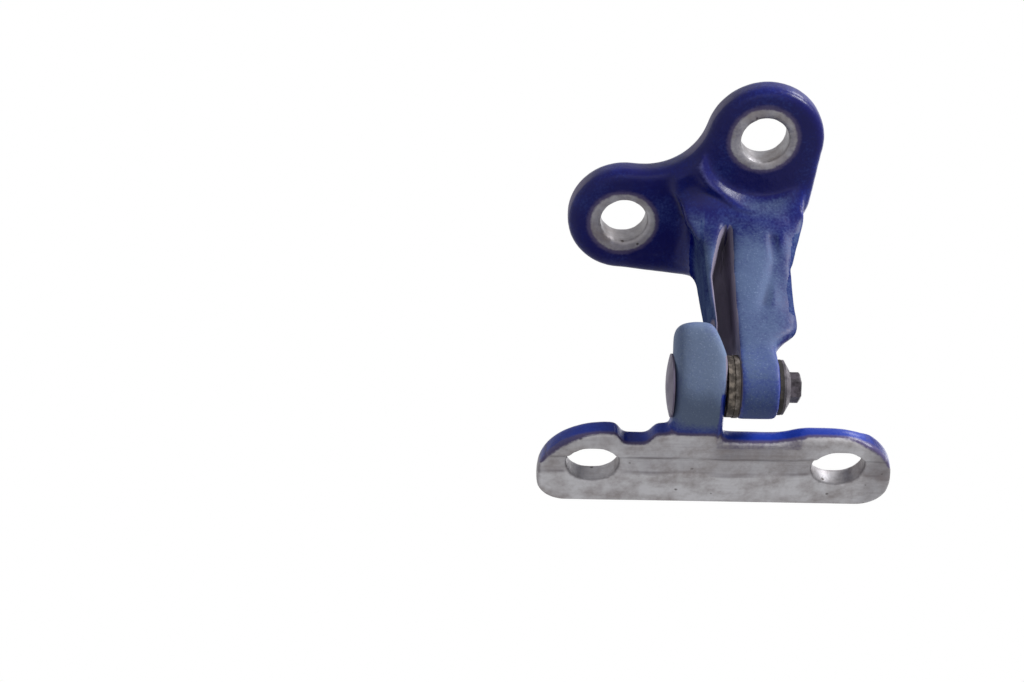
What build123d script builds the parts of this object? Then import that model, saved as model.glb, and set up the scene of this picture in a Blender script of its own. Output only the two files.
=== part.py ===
"""Car door hinge: a forged pillar leaf and a forged door leaf on one headed pin.

The pin axis runs up along Z. The pillar leaf bolts on by its bare face, which
lies on Y = 0, with the origin midway between its two slots.
"""

import os
from math import sqrt

from build123d import *

os.makedirs("parts", exist_ok=True)

# Pillar plate, measured from the line through its two slots
plate_length = 109.0
plate_low = 17.3
plate_high = 14.1
plate_t = 6.8
plate_low_corner_r = 9.0
plate_high_corner_r = 20.0
plate_face_edge_r = 0.6
plate_back_edge_r = 1.5
slot_pitch = 75.0
slot_width = 15.0
slot_length = 16.0
groove_width = 8.0
groove_depth = 0.8

# Cut-outs in the plate's upper edge, either side of the neck
notch_centre = -25.0
notch_mouth = 12.0
notch_floor = 6.5
notch_depth = 4.4
relief_floor = 16.5
relief_ramp = 7.0
relief_depth = 3.2
cutout_r = 1.6

# Pin and its running fit
pin_d = 9.0
pin_clearance = 0.04
pin_head_d = 19.0
pin_head_rim = 0.5
pin_head_height = 1.8

# Pillar knuckle with its neck and stop lug
knuckle_r = 9.6
neck_recess = 0.4
pin_x = 26.0
pin_y = -(knuckle_r + neck_recess)
pillar_knuckle_z = -14.9
pillar_knuckle_width = 15.8
neck_root = 5.0
lug_turn = 46.0
lug_reach = 19.0
lug_back = 4.0
lug_bevel_width = 4.6
lug_bevel_height = 10.0
lug_edge_r = 2.4
lug_corner_r = 4.4

# Washers, bushes and retaining bolt, stacked up the pin
running_gap = 0.1
thrust_washer_t = 1.9
thrust_washer_d = 18.4
bush_wall = 1.25
lower_flange_d = 18.8
upper_flange_d = 16.6
bush_sleeve = 4.5
lower_flange_t = 1.4
upper_flange_t = 1.1
cone_washer_d = 16.4
cone_washer_top_d = 10.6
cone_washer_rim = 0.7
cone_washer_t = 2.4
bolt_d = 5.0
bolt_grip = 9.0
bolt_head_af = 8.0
bolt_head_h = 3.4
bolt_head_turn = 20.0
bolt_edge = 0.5

# Ear plate of the door leaf, with ears and holes placed by height Z and distance Q up the plate
ear_turn = 12.5
ear_t = 9.0
ear_edge_r = 2.6
ear_hole_d = 15.0
ear_low_z, ear_low_q, ear_low_r = -26.9, -6.0, 18.3
ear_high_z, ear_high_q, ear_high_r = 16.5, 22.5, 18.8
hole_high_z, hole_high_q = 16.2, 23.8
ear_pad_r = 19.5
saddle_rise = 1.6
ear_waist_r = 20.0
ear_foot_drop = 3.0

# Arm of the door leaf, from its knuckle to the ear plate
door_knuckle_width = 11.7
arm_length = 69.8
arm_t = 26.0
arm_thin_t = 15.6
arm_thin_run = 14.0
arm_deep_run = 53.5
arm_edge_r = 2.2
arm_left_z = -2.4
arm_root_r = 8.0
arm_right_z = 22.6
arm_flare_z = 33.0
arm_flare_start = 26.0
flange_clear = 0.8
flange_run = 7.5
flange_t = 5.5
hump_r = 3.5
foot_r = 15.0
foot_land = 0.6
foot_sink = 4.0
foot_spread = 9.0

# Pocket and valley in the arm's web, and the heel that meets the stop lug
pocket_left_z = -0.7
pocket_right_z = 5.4
pocket_tip_z = 6.6
pocket_tip_rise = 6.0
pocket_curve = 26.0
pocket_belly = 2.5
pocket_depth = 12.0
valley_z = 19.6
valley_width = 3.4
valley_depth = 1.2
valley_rise = 12.0
valley_length = 34.0
stop_gap = 1.4
stop_clear_r = 21.2
stop_clear_z = 0.5
washer_clear = 0.6
heel_reach = 10.0
heel_depth = 9.0

# Heights up the pin, each set by the piece below it
pillar_knuckle_top = pillar_knuckle_z + pillar_knuckle_width
thrust_washer_top = pillar_knuckle_top + thrust_washer_t
lower_flange_z = thrust_washer_top + running_gap
door_knuckle_z = lower_flange_z + lower_flange_t
door_knuckle_top = door_knuckle_z + door_knuckle_width
pin_top = door_knuckle_top + upper_flange_t + running_gap
bolt_head_z = pin_top + cone_washer_t

# Radii up the pin
pin_r = pin_d / 2
bush_in_r = pin_r + pin_clearance
bush_r = bush_in_r + bush_wall
lower_flange_r = lower_flange_d / 2
upper_flange_r = upper_flange_d / 2

# Working planes and directions
web_x = pin_x + knuckle_r
ear_y = pin_y - arm_length
pin_centre = (pin_x, pin_y)
pin_axis = Axis((pin_x, pin_y, 0), (0, 0, 1))
pin_plane = Plane(origin=(pin_x, pin_y, 0), x_dir=(1, 0, 0), z_dir=(0, -1, 0))
mating_plane = Plane(origin=(0, 0, 0), x_dir=(0, 0, 1), z_dir=(0, 1, 0))
lug_axis = Axis((pin_x, pin_y, 0), Vector(1, 0, 0).rotate(Axis.Z, -lug_turn))
lug_normal = Vector(0, 1, 0).rotate(Axis.Z, -lug_turn)
lug_plane = Plane(origin=(pin_x, pin_y, 0), x_dir=(0, 0, 1), z_dir=lug_normal)
web_plane = Plane(origin=(web_x, 0, 0), x_dir=(0, 0, 1), z_dir=(-1, 0, 0))
ear_root = Vector(web_x, ear_y, 0)
ear_normal = Vector(0, 1, 0).rotate(Axis.Z, -ear_turn)
ear_up = Vector(1, 0, 0).rotate(Axis.Z, -ear_turn)
ear_plane = Plane(origin=ear_root, x_dir=(0, 0, 1), z_dir=ear_normal)

# Places of the bolt holes on their planes
slot_places = [(-slot_pitch / 2, 0), (slot_pitch / 2, 0)]
ear_low_place = (ear_low_z, ear_low_q)
ear_high_place = (ear_high_z, ear_high_q)
hole_places = [ear_low_place, (hole_high_z, hole_high_q)]

# Centre of the hollow curve that joins the two ears
ear_low_centre = Vector(ear_low_z, ear_low_q)
ear_span = Vector(ear_high_z, ear_high_q) - ear_low_centre
ear_span_dir = ear_span.normalized()
waist_low_reach = ear_low_r + ear_waist_r
waist_high_reach = ear_high_r + ear_waist_r
waist_excess = waist_low_reach**2 - waist_high_reach**2 + ear_span.length**2
waist_along = waist_excess / (2 * ear_span.length)
waist_aside = sqrt(waist_low_reach**2 - waist_along**2)
waist_side_dir = ear_span_dir.rotate(Axis.Z, 90)
waist_centre = ear_low_centre + ear_span_dir * waist_along + waist_side_dir * waist_aside

# Knuckle of the pillar leaf, with its stop lug and neck
with BuildPart() as pillar_knuckle:
    with BuildSketch(Plane.XY.offset(pillar_knuckle_z)):
        with Locations(pin_centre):
            Polygon(
                (0, -lug_back),
                (lug_reach, -lug_back),
                (lug_reach, knuckle_r),
                (0, knuckle_r),
                rotation=-lug_turn,
                align=None,
            )
            Circle(knuckle_r)
        Polygon(
            (plate_high - neck_root, -neck_recess),
            (pin_x, -neck_recess),
            (pin_x, pin_y),
            (pin_x - knuckle_r, pin_y),
            (plate_high - neck_root, -plate_t / 2),
            align=None,
        )
    extrude(amount=pillar_knuckle_width)
    with BuildSketch(lug_plane):
        Polygon(
            (pillar_knuckle_top, lug_reach - lug_bevel_height),
            (pillar_knuckle_top, lug_reach),
            (pillar_knuckle_top - lug_bevel_width, lug_reach),
            align=None,
        )
    extrude(amount=2 * knuckle_r, both=True, mode=Mode.SUBTRACT)
    fillet(faces().sort_by(Axis.Z)[0].edges().sort_by(lug_axis)[-1], lug_corner_r)
    fillet(faces().sort_by(lug_axis)[-1].edges().filter_by(Axis.Z), lug_edge_r)

# Pillar leaf
with BuildPart() as pillar_leaf:
    notch_bottom = plate_high - notch_depth
    notch_reach = notch_mouth / 2 + cutout_r
    relief_bottom = plate_high - relief_depth
    relief_end = pillar_knuckle_top + relief_floor
    ramp_end = relief_end + relief_ramp
    with BuildSketch(mating_plane):
        with Locations((0, (plate_high - plate_low) / 2)):
            Rectangle(plate_length, plate_low + plate_high)
        fillet(vertices().group_by(Axis.Y)[0], plate_low_corner_r)
        fillet(vertices().group_by(Axis.Y)[-1], plate_high_corner_r)
        with Locations((notch_centre, 0)):
            Polygon(
                (-notch_mouth / 2, plate_high),
                (-notch_floor / 2, notch_bottom),
                (notch_floor / 2, notch_bottom),
                (notch_mouth / 2, plate_high),
                align=None,
                mode=Mode.SUBTRACT,
            )
        Polygon(
            (pillar_knuckle_top, plate_high),
            (pillar_knuckle_top, relief_bottom),
            (relief_end, relief_bottom),
            (ramp_end, plate_high),
            align=None,
            mode=Mode.SUBTRACT,
        )
        notch_span = (notch_centre - notch_reach, notch_centre + notch_reach)
        fillet(vertices().filter_by_position(Axis.X, *notch_span), cutout_r)
        ramp_span = (relief_end - cutout_r, ramp_end + cutout_r)
        fillet(vertices().filter_by_position(Axis.X, *ramp_span), cutout_r)
    extrude(amount=-plate_t)
    fillet(faces().sort_by(Axis.Y)[0].outer_wire().edges(), plate_back_edge_r)
    fillet(faces().sort_by(Axis.Y)[-1].outer_wire().edges(), plate_face_edge_r)
    with BuildSketch(mating_plane):
        Rectangle(plate_length, groove_width)
    extrude(amount=-groove_depth, mode=Mode.SUBTRACT)
    with BuildSketch(mating_plane):
        with Locations(*slot_places):
            SlotOverall(slot_length, slot_width)
    extrude(amount=-plate_t, mode=Mode.SUBTRACT)

    # Knuckle on its neck, then the pin bore
    add(pillar_knuckle.part)
    with BuildSketch(Plane.XY.offset(pillar_knuckle_z)):
        with Locations(pin_centre):
            Circle(pin_r)
    extrude(amount=pillar_knuckle_width, mode=Mode.SUBTRACT)
pillar_leaf.part.label = "pillar_leaf"
export_step(pillar_leaf.part, "parts/pillar_leaf.step")

# Arm of the door leaf, between its knuckle and its ear plate
with BuildPart() as arm:
    flange_y = pin_y - (upper_flange_r + flange_clear)
    with BuildSketch(web_plane):
        with BuildLine():
            Polyline(
                (arm_left_z, ear_y + arm_root_r),
                (arm_left_z, pin_y),
                (door_knuckle_top, pin_y),
                (door_knuckle_top, flange_y),
                (arm_right_z, flange_y - flange_run),
                (arm_right_z, ear_y + arm_flare_start),
                (arm_flare_z - ear_edge_r, ear_y),
                (arm_left_z - arm_root_r, ear_y),
            )
            TangentArc(
                (arm_left_z, ear_y + arm_root_r),
                (arm_left_z - arm_root_r, ear_y),
                tangent=(0, -1),
            )
        make_face()
        fillet(vertices().sort_by_distance((arm_right_z, flange_y - flange_run))[0], hump_r)
    extrude(amount=arm_t)
    fillet(faces().sort_by(Axis.X)[-1].edges(), arm_edge_r)

    # The underside rises towards the knuckle, clear of the plate when the door is shut
    with BuildSketch(Plane.XY.offset(arm_left_z - arm_root_r)):
        Polygon(
            (web_x - arm_t, pin_y),
            (web_x - arm_thin_t, pin_y),
            (web_x - arm_thin_t, pin_y - arm_thin_run),
            (web_x - arm_t, pin_y - arm_deep_run),
            align=None,
        )
    extrude(amount=arm_flare_z - arm_left_z + arm_root_r, mode=Mode.SUBTRACT)

    # Beyond the knuckle's width the arm is only a thin flange, up to the ear plate's flare
    with BuildSketch(Plane.XY.offset(door_knuckle_top)):
        Polygon(
            (web_x - arm_t, pin_y),
            (web_x - flange_t, pin_y),
            (web_x - flange_t, ear_y + arm_flare_start),
            (web_x - arm_t, ear_y),
            align=None,
        )
    extrude(amount=arm_flare_z - door_knuckle_top, mode=Mode.SUBTRACT)

    # Hollow foot where the web runs into the ear plate
    foot_top = ear_root + ear_up * foot_r
    foot_sunk = foot_top - ear_normal * foot_sink
    foot_back = ear_root - ear_normal * foot_sink
    foot_left_z = arm_left_z - 2 * foot_spread
    foot_right_z = arm_flare_z - ear_edge_r
    with BuildSketch(Plane.XY.offset(foot_left_z)):
        Polygon(
            (web_x - flange_t, ear_y + foot_r),
            (web_x, ear_y + foot_r),
            (web_x, ear_y),
            (foot_top.X, foot_top.Y),
            (foot_sunk.X, foot_sunk.Y),
            (foot_back.X, foot_back.Y),
            align=None,
        )
        fillet(vertices().sort_by_distance((web_x, ear_y))[0], foot_r - foot_land)
    extrude(amount=foot_right_z - foot_left_z)

    # Raised saddle between the ears' round pads
    with BuildSketch(ear_plane):
        Polygon(
            (arm_left_z, 0),
            (foot_right_z, 0),
            ear_high_place,
            (waist_centre.X, waist_centre.Y),
            ear_low_place,
            align=None,
        )
    extrude(amount=saddle_rise)

    # The foot narrows to the arm on both sides and stops short of the pads
    with BuildSketch(web_plane):
        Polygon(
            (arm_left_z, ear_y + foot_r),
            (foot_left_z, ear_y - foot_r),
            (foot_left_z, ear_y + foot_r),
            align=None,
        )
        Polygon(
            (arm_right_z, ear_y + arm_flare_start),
            (arm_flare_z, ear_y),
            (arm_flare_z, ear_y + arm_flare_start),
            align=None,
        )
    extrude(amount=2 * foot_r, both=True, mode=Mode.SUBTRACT)
    with BuildSketch(ear_plane):
        with Locations(*hole_places):
            Circle(ear_pad_r)
    extrude(amount=arm_length / 2, mode=Mode.SUBTRACT)
    with BuildSketch(ear_plane):
        with Locations(waist_centre):
            Circle(ear_waist_r + ear_edge_r)
    extrude(amount=2 * foot_r, both=True, mode=Mode.SUBTRACT)

# Door leaf
with BuildPart() as door_leaf:
    ear_foot = ear_low_q - ear_low_r
    with BuildSketch(ear_plane):
        with Locations(ear_low_place):
            Circle(ear_low_r)
        with Locations(ear_high_place):
            Circle(ear_high_r)
        Polygon(
            (ear_low_z, ear_foot),
            (arm_left_z, ear_foot - ear_foot_drop),
            (arm_right_z, ear_foot - ear_foot_drop),
            (arm_flare_z, 0),
            (ear_high_z + ear_high_r, ear_high_q),
            (ear_high_z, ear_high_q),
            (waist_centre.X, waist_centre.Y),
            (ear_low_z, ear_low_q),
            align=None,
        )
        with Locations(waist_centre):
            Circle(ear_waist_r, mode=Mode.SUBTRACT)
    extrude(amount=-ear_t)
    for ear_face in faces().filter_by(ear_plane):
        fillet(ear_face.outer_wire().edges(), ear_edge_r)
    add(arm.part)
    with BuildSketch(Plane.XY.offset(door_knuckle_z)):
        with Locations(pin_centre):
            Circle(knuckle_r)
    extrude(amount=door_knuckle_width)

    # Lightening pocket and shallow valley in the web, each side of its flat
    pocket_tip = (pocket_tip_z, ear_y + pocket_tip_rise)
    pocket_curve_y = ear_y + pocket_tip_rise + pocket_curve
    with BuildSketch(web_plane) as pocket:
        with BuildLine():
            Polyline(
                pocket_tip,
                (pocket_right_z, pocket_curve_y),
                (door_knuckle_z, pin_y),
                (pocket_left_z, pin_y),
                (pocket_left_z, pocket_curve_y),
            )
            Spline(
                (pocket_left_z, pocket_curve_y),
                (pocket_left_z + pocket_belly, pocket_curve_y - pocket_curve / 2),
                pocket_tip,
                tangents=((0, -1), (1, -1)),
            )
        make_face()
    extrude(amount=pocket_depth, mode=Mode.SUBTRACT)
    extrude(pocket.sketch, amount=-foot_r, mode=Mode.SUBTRACT)
    with BuildSketch(web_plane):
        with Locations((valley_z, ear_y + valley_rise + valley_length / 2)):
            SlotOverall(valley_length, valley_width, rotation=90)
    extrude(amount=valley_depth, mode=Mode.SUBTRACT)

    # Swing room around the stop lug, less the heel that meets it when fully open
    with BuildSketch(Plane.XY.offset(pillar_knuckle_z)):
        with Locations(pin_centre):
            Circle(stop_clear_r)
            Polygon(
                (heel_reach, -lug_back - stop_gap),
                (stop_clear_r, -lug_back - stop_gap),
                (stop_clear_r, -lug_back - stop_gap - heel_depth),
                (heel_reach, -lug_back - stop_gap - heel_depth),
                rotation=-lug_turn,
                align=None,
                mode=Mode.SUBTRACT,
            )
    extrude(amount=pillar_knuckle_width + stop_clear_z, mode=Mode.SUBTRACT)
    with BuildSketch(Plane.XY.offset(pillar_knuckle_z)):
        with Locations(pin_centre):
            Circle(lower_flange_r + washer_clear)
    extrude(amount=door_knuckle_z - pillar_knuckle_z, mode=Mode.SUBTRACT)

    # Bush bore and bolt holes
    with BuildSketch(Plane.XY.offset(door_knuckle_z)):
        with Locations(pin_centre):
            Circle(bush_r)
    extrude(amount=door_knuckle_width, mode=Mode.SUBTRACT)
    with BuildSketch(ear_plane):
        with Locations(*hole_places):
            Circle(ear_hole_d / 2)
    extrude(amount=-ear_t, mode=Mode.SUBTRACT)
door_leaf.part.label = "door_leaf"
export_step(door_leaf.part, "parts/door_leaf.step")

# Headed pin with a threaded end for the retaining bolt
with BuildPart() as hinge_pin:
    pin_head_end = (0, pillar_knuckle_z - pin_head_height)
    pin_head_edge = (pin_head_d / 2, pillar_knuckle_z - pin_head_rim)
    with BuildSketch(pin_plane):
        with BuildLine():
            Polyline(
                pin_head_end,
                (0, pin_top - bolt_grip),
                (bolt_d / 2, pin_top - bolt_grip),
                (bolt_d / 2, pin_top),
                (pin_r, pin_top),
                (pin_r, pillar_knuckle_z),
                (pin_head_d / 2, pillar_knuckle_z),
                pin_head_edge,
            )
            TangentArc(pin_head_end, pin_head_edge, tangent=(1, 0))
        make_face()
    revolve(axis=pin_axis)
hinge_pin.part.label = "hinge_pin"
export_step(hinge_pin.part, "parts/hinge_pin.step")

# Turned pieces, each as an outline of radius and height
turned_outlines = {
    "thrust_washer": [
        (pin_r, pillar_knuckle_top),
        (thrust_washer_d / 2, pillar_knuckle_top),
        (thrust_washer_d / 2, thrust_washer_top),
        (pin_r, thrust_washer_top),
    ],
    "lower_bush": [
        (bush_in_r, lower_flange_z),
        (lower_flange_r, lower_flange_z),
        (lower_flange_r, door_knuckle_z),
        (bush_r, door_knuckle_z),
        (bush_r, door_knuckle_z + bush_sleeve),
        (bush_in_r, door_knuckle_z + bush_sleeve),
    ],
    "upper_bush": [
        (bush_in_r, door_knuckle_top - bush_sleeve),
        (bush_r, door_knuckle_top - bush_sleeve),
        (bush_r, door_knuckle_top),
        (upper_flange_r, door_knuckle_top),
        (upper_flange_r, door_knuckle_top + upper_flange_t),
        (bush_in_r, door_knuckle_top + upper_flange_t),
    ],
    "retaining_washer": [
        (bolt_d / 2, pin_top),
        (cone_washer_d / 2, pin_top),
        (cone_washer_d / 2, pin_top + cone_washer_rim),
        (cone_washer_top_d / 2, bolt_head_z),
        (bolt_d / 2, bolt_head_z),
    ],
}
for label, outline in turned_outlines.items():
    with BuildPart() as turned_piece:
        with BuildSketch(pin_plane):
            Polygon(*outline, align=None)
        revolve(axis=pin_axis)
    turned_piece.part.label = label
    export_step(turned_piece.part, f"parts/{label}.step")

# Retaining bolt with its hexagon head
with BuildPart() as retaining_bolt:
    with BuildSketch(Plane.XY.offset(pin_top - bolt_grip)):
        with Locations(pin_centre):
            Circle(bolt_d / 2)
    extrude(amount=bolt_grip + cone_washer_t)
    with BuildSketch(Plane.XY.offset(bolt_head_z)):
        with Locations(pin_centre):
            RegularPolygon(bolt_head_af / 2, 6, major_radius=False, rotation=bolt_head_turn)
    extrude(amount=bolt_head_h)
    chamfer(faces().sort_by(Axis.Z)[-1].edges(), bolt_edge)
retaining_bolt.part.label = "retaining_bolt"
export_step(retaining_bolt.part, "parts/retaining_bolt.step")
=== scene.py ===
import logging
import math
from dataclasses import dataclass
from enum import Enum
from typing import Any

import bmesh
import bpy
import numpy as np
from mathutils import Matrix, Vector


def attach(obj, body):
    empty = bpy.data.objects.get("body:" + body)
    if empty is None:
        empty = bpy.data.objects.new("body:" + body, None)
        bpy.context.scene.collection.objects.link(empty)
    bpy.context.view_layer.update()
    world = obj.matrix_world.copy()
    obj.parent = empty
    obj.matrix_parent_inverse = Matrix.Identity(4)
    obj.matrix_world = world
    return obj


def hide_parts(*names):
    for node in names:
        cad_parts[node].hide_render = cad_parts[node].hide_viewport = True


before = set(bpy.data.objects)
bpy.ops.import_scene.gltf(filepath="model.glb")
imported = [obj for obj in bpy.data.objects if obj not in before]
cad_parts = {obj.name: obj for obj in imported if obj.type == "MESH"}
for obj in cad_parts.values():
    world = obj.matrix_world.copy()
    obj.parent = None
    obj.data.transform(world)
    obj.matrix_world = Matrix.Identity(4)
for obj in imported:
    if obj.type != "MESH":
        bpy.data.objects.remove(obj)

LOG = logging.getLogger("hinge")
MM = 0.001
MERGE_MM = 0.002

# The pin's axis, which both leaves share (mm)
PIN_X = 26.0
PIN_Y = -10.0

# The bolts that clamped both leaves left prints of their flanges (mm)
BOLT_HOLE_R = 7.5
FLANGE_PRINT_R = 10.9

# How sharply bare steel ends at the mouth of a bolt hole
HOLE_WALL_GAIN = 4.0

# Where a smooth step starts and where it is full
Span = tuple[float, float]


class Body(Enum):
    """The two halves that swing against each other."""

    PILLAR = "pillar_half"
    DOOR = "door_half"


class Field(Enum):
    """What a leaf's skin carries at each point for its finish."""

    RELAX = "relax"
    MELT = "melt"
    FILL = "fill"
    BARE = "bare_mm"
    TONE = "tone"
    HAZE = "haze"
    GRIME = "grime"
    DUSTY = "dusty"
    EDGE = "edge_mm"


def linear(colour: str) -> tuple[float, float, float, float]:
    """Turn an sRGB hex colour into linear light.

    Args:
        colour: Hex text such as "#1b1a74".

    Returns:
        Linear red, green and blue, with full alpha.
    """
    shares = [int(colour[start:start + 2], 16) / 255 for start in (1, 3, 5)]
    red, green, blue = (
        share / 12.92 if share <= 0.04045 else ((share + 0.055) / 1.055) ** 2.4 for share in shares
    )
    return red, green, blue, 1.0


def per_mm(size: float) -> float:
    """Pattern scale, per metre, of features of this size in mm."""
    return 1.0 / (size * MM)


def add_node(tree: bpy.types.NodeTree, kind: str, inputs: dict[str | int, Any] | None = None,
             output: str | None = None, **settings: Any) -> bpy.types.NodeSocket | None:
    """Add one node with its settings, constants and links.

    Args:
        tree: The node tree that gets the node.
        kind: The node's type name.
        inputs: Constants and sockets for its inputs, by name or place.
        output: The name of the wanted output, or the first one in use.
        settings: The node's own properties.

    Returns:
        The wanted output socket, or None where the node has no output.
    """
    node = tree.nodes.new(kind)
    for name, value in settings.items():
        setattr(node, name, value)
    for key, value in (inputs or {}).items():
        if isinstance(key, int):
            socket = node.inputs[key]
        else:
            socket = next(entry for entry in node.inputs if entry.name == key and entry.enabled)
        if isinstance(value, bpy.types.NodeSocket):
            tree.links.new(value, socket)
        else:
            socket.default_value = value
    wanted = (entry for entry in node.outputs if entry.enabled and output in (None, entry.name))
    return next(wanted, None)


def new_material(name: str) -> tuple[bpy.types.Material, bpy.types.NodeTree]:
    """Start an empty node material.

    Args:
        name: The material's name.

    Returns:
        The material and its cleared node tree.
    """
    material = bpy.data.materials.new(name)
    material.use_nodes = True
    material.node_tree.nodes.clear()
    return material, material.node_tree


def step(span: Span, values: np.ndarray, at: np.ndarray | float = 0.0) -> np.ndarray:
    """Smooth step from 0 at the span's start to 1 at its end.

    Args:
        span: Where the step starts and where it is full.
        values: The values to step over.
        at: The place that the span is measured from.

    Returns:
        One share per value, from 0 to 1.
    """
    low, high = at + span[0], at + span[1]
    share = np.clip((values - low) / (high - low), 0.0, 1.0)
    return share * share * (3.0 - 2.0 * share)


def bell(values: np.ndarray) -> np.ndarray:
    """Round rise from 0 at -1 to 1 at 0, and back to 0 at 1."""
    return np.cos(np.clip(values, -1.0, 1.0) * math.pi / 2) ** 2


def into_fillet(u: np.ndarray, v: np.ndarray, corner: tuple[float, float], radius: float,
                where: np.ndarray) -> tuple[np.ndarray, np.ndarray]:
    """Move points on two walls that meet in a hollow corner onto a fillet between them.

    Args:
        u: Distances along the axis that the first wall faces.
        v: Distances along the axis that the second wall faces.
        corner: Where the two walls lie, on each axis.
        radius: The fillet's radius.
        where: Which points may move.

    Returns:
        The new distances along both axes.
    """
    skin = 0.4
    centre_u, centre_v = corner[0] + radius, corner[1] + radius
    du, dv = u - centre_u, v - centre_v
    reach = np.hypot(du, dv)
    off_walls = (u > corner[0] - skin) & (v > corner[1] - skin)
    hollow = where & off_walls & (du < 0) & (dv < 0) & (reach > radius)
    share = np.where(hollow, radius / np.maximum(reach, radius), 1.0)
    return centre_u + du * share, centre_v + dv * share


@dataclass(frozen=True)
class Mask:
    """How a field turns into a mask: how far noise moves its edge, and the span it rises over."""

    spread: float
    span: Span


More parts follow.
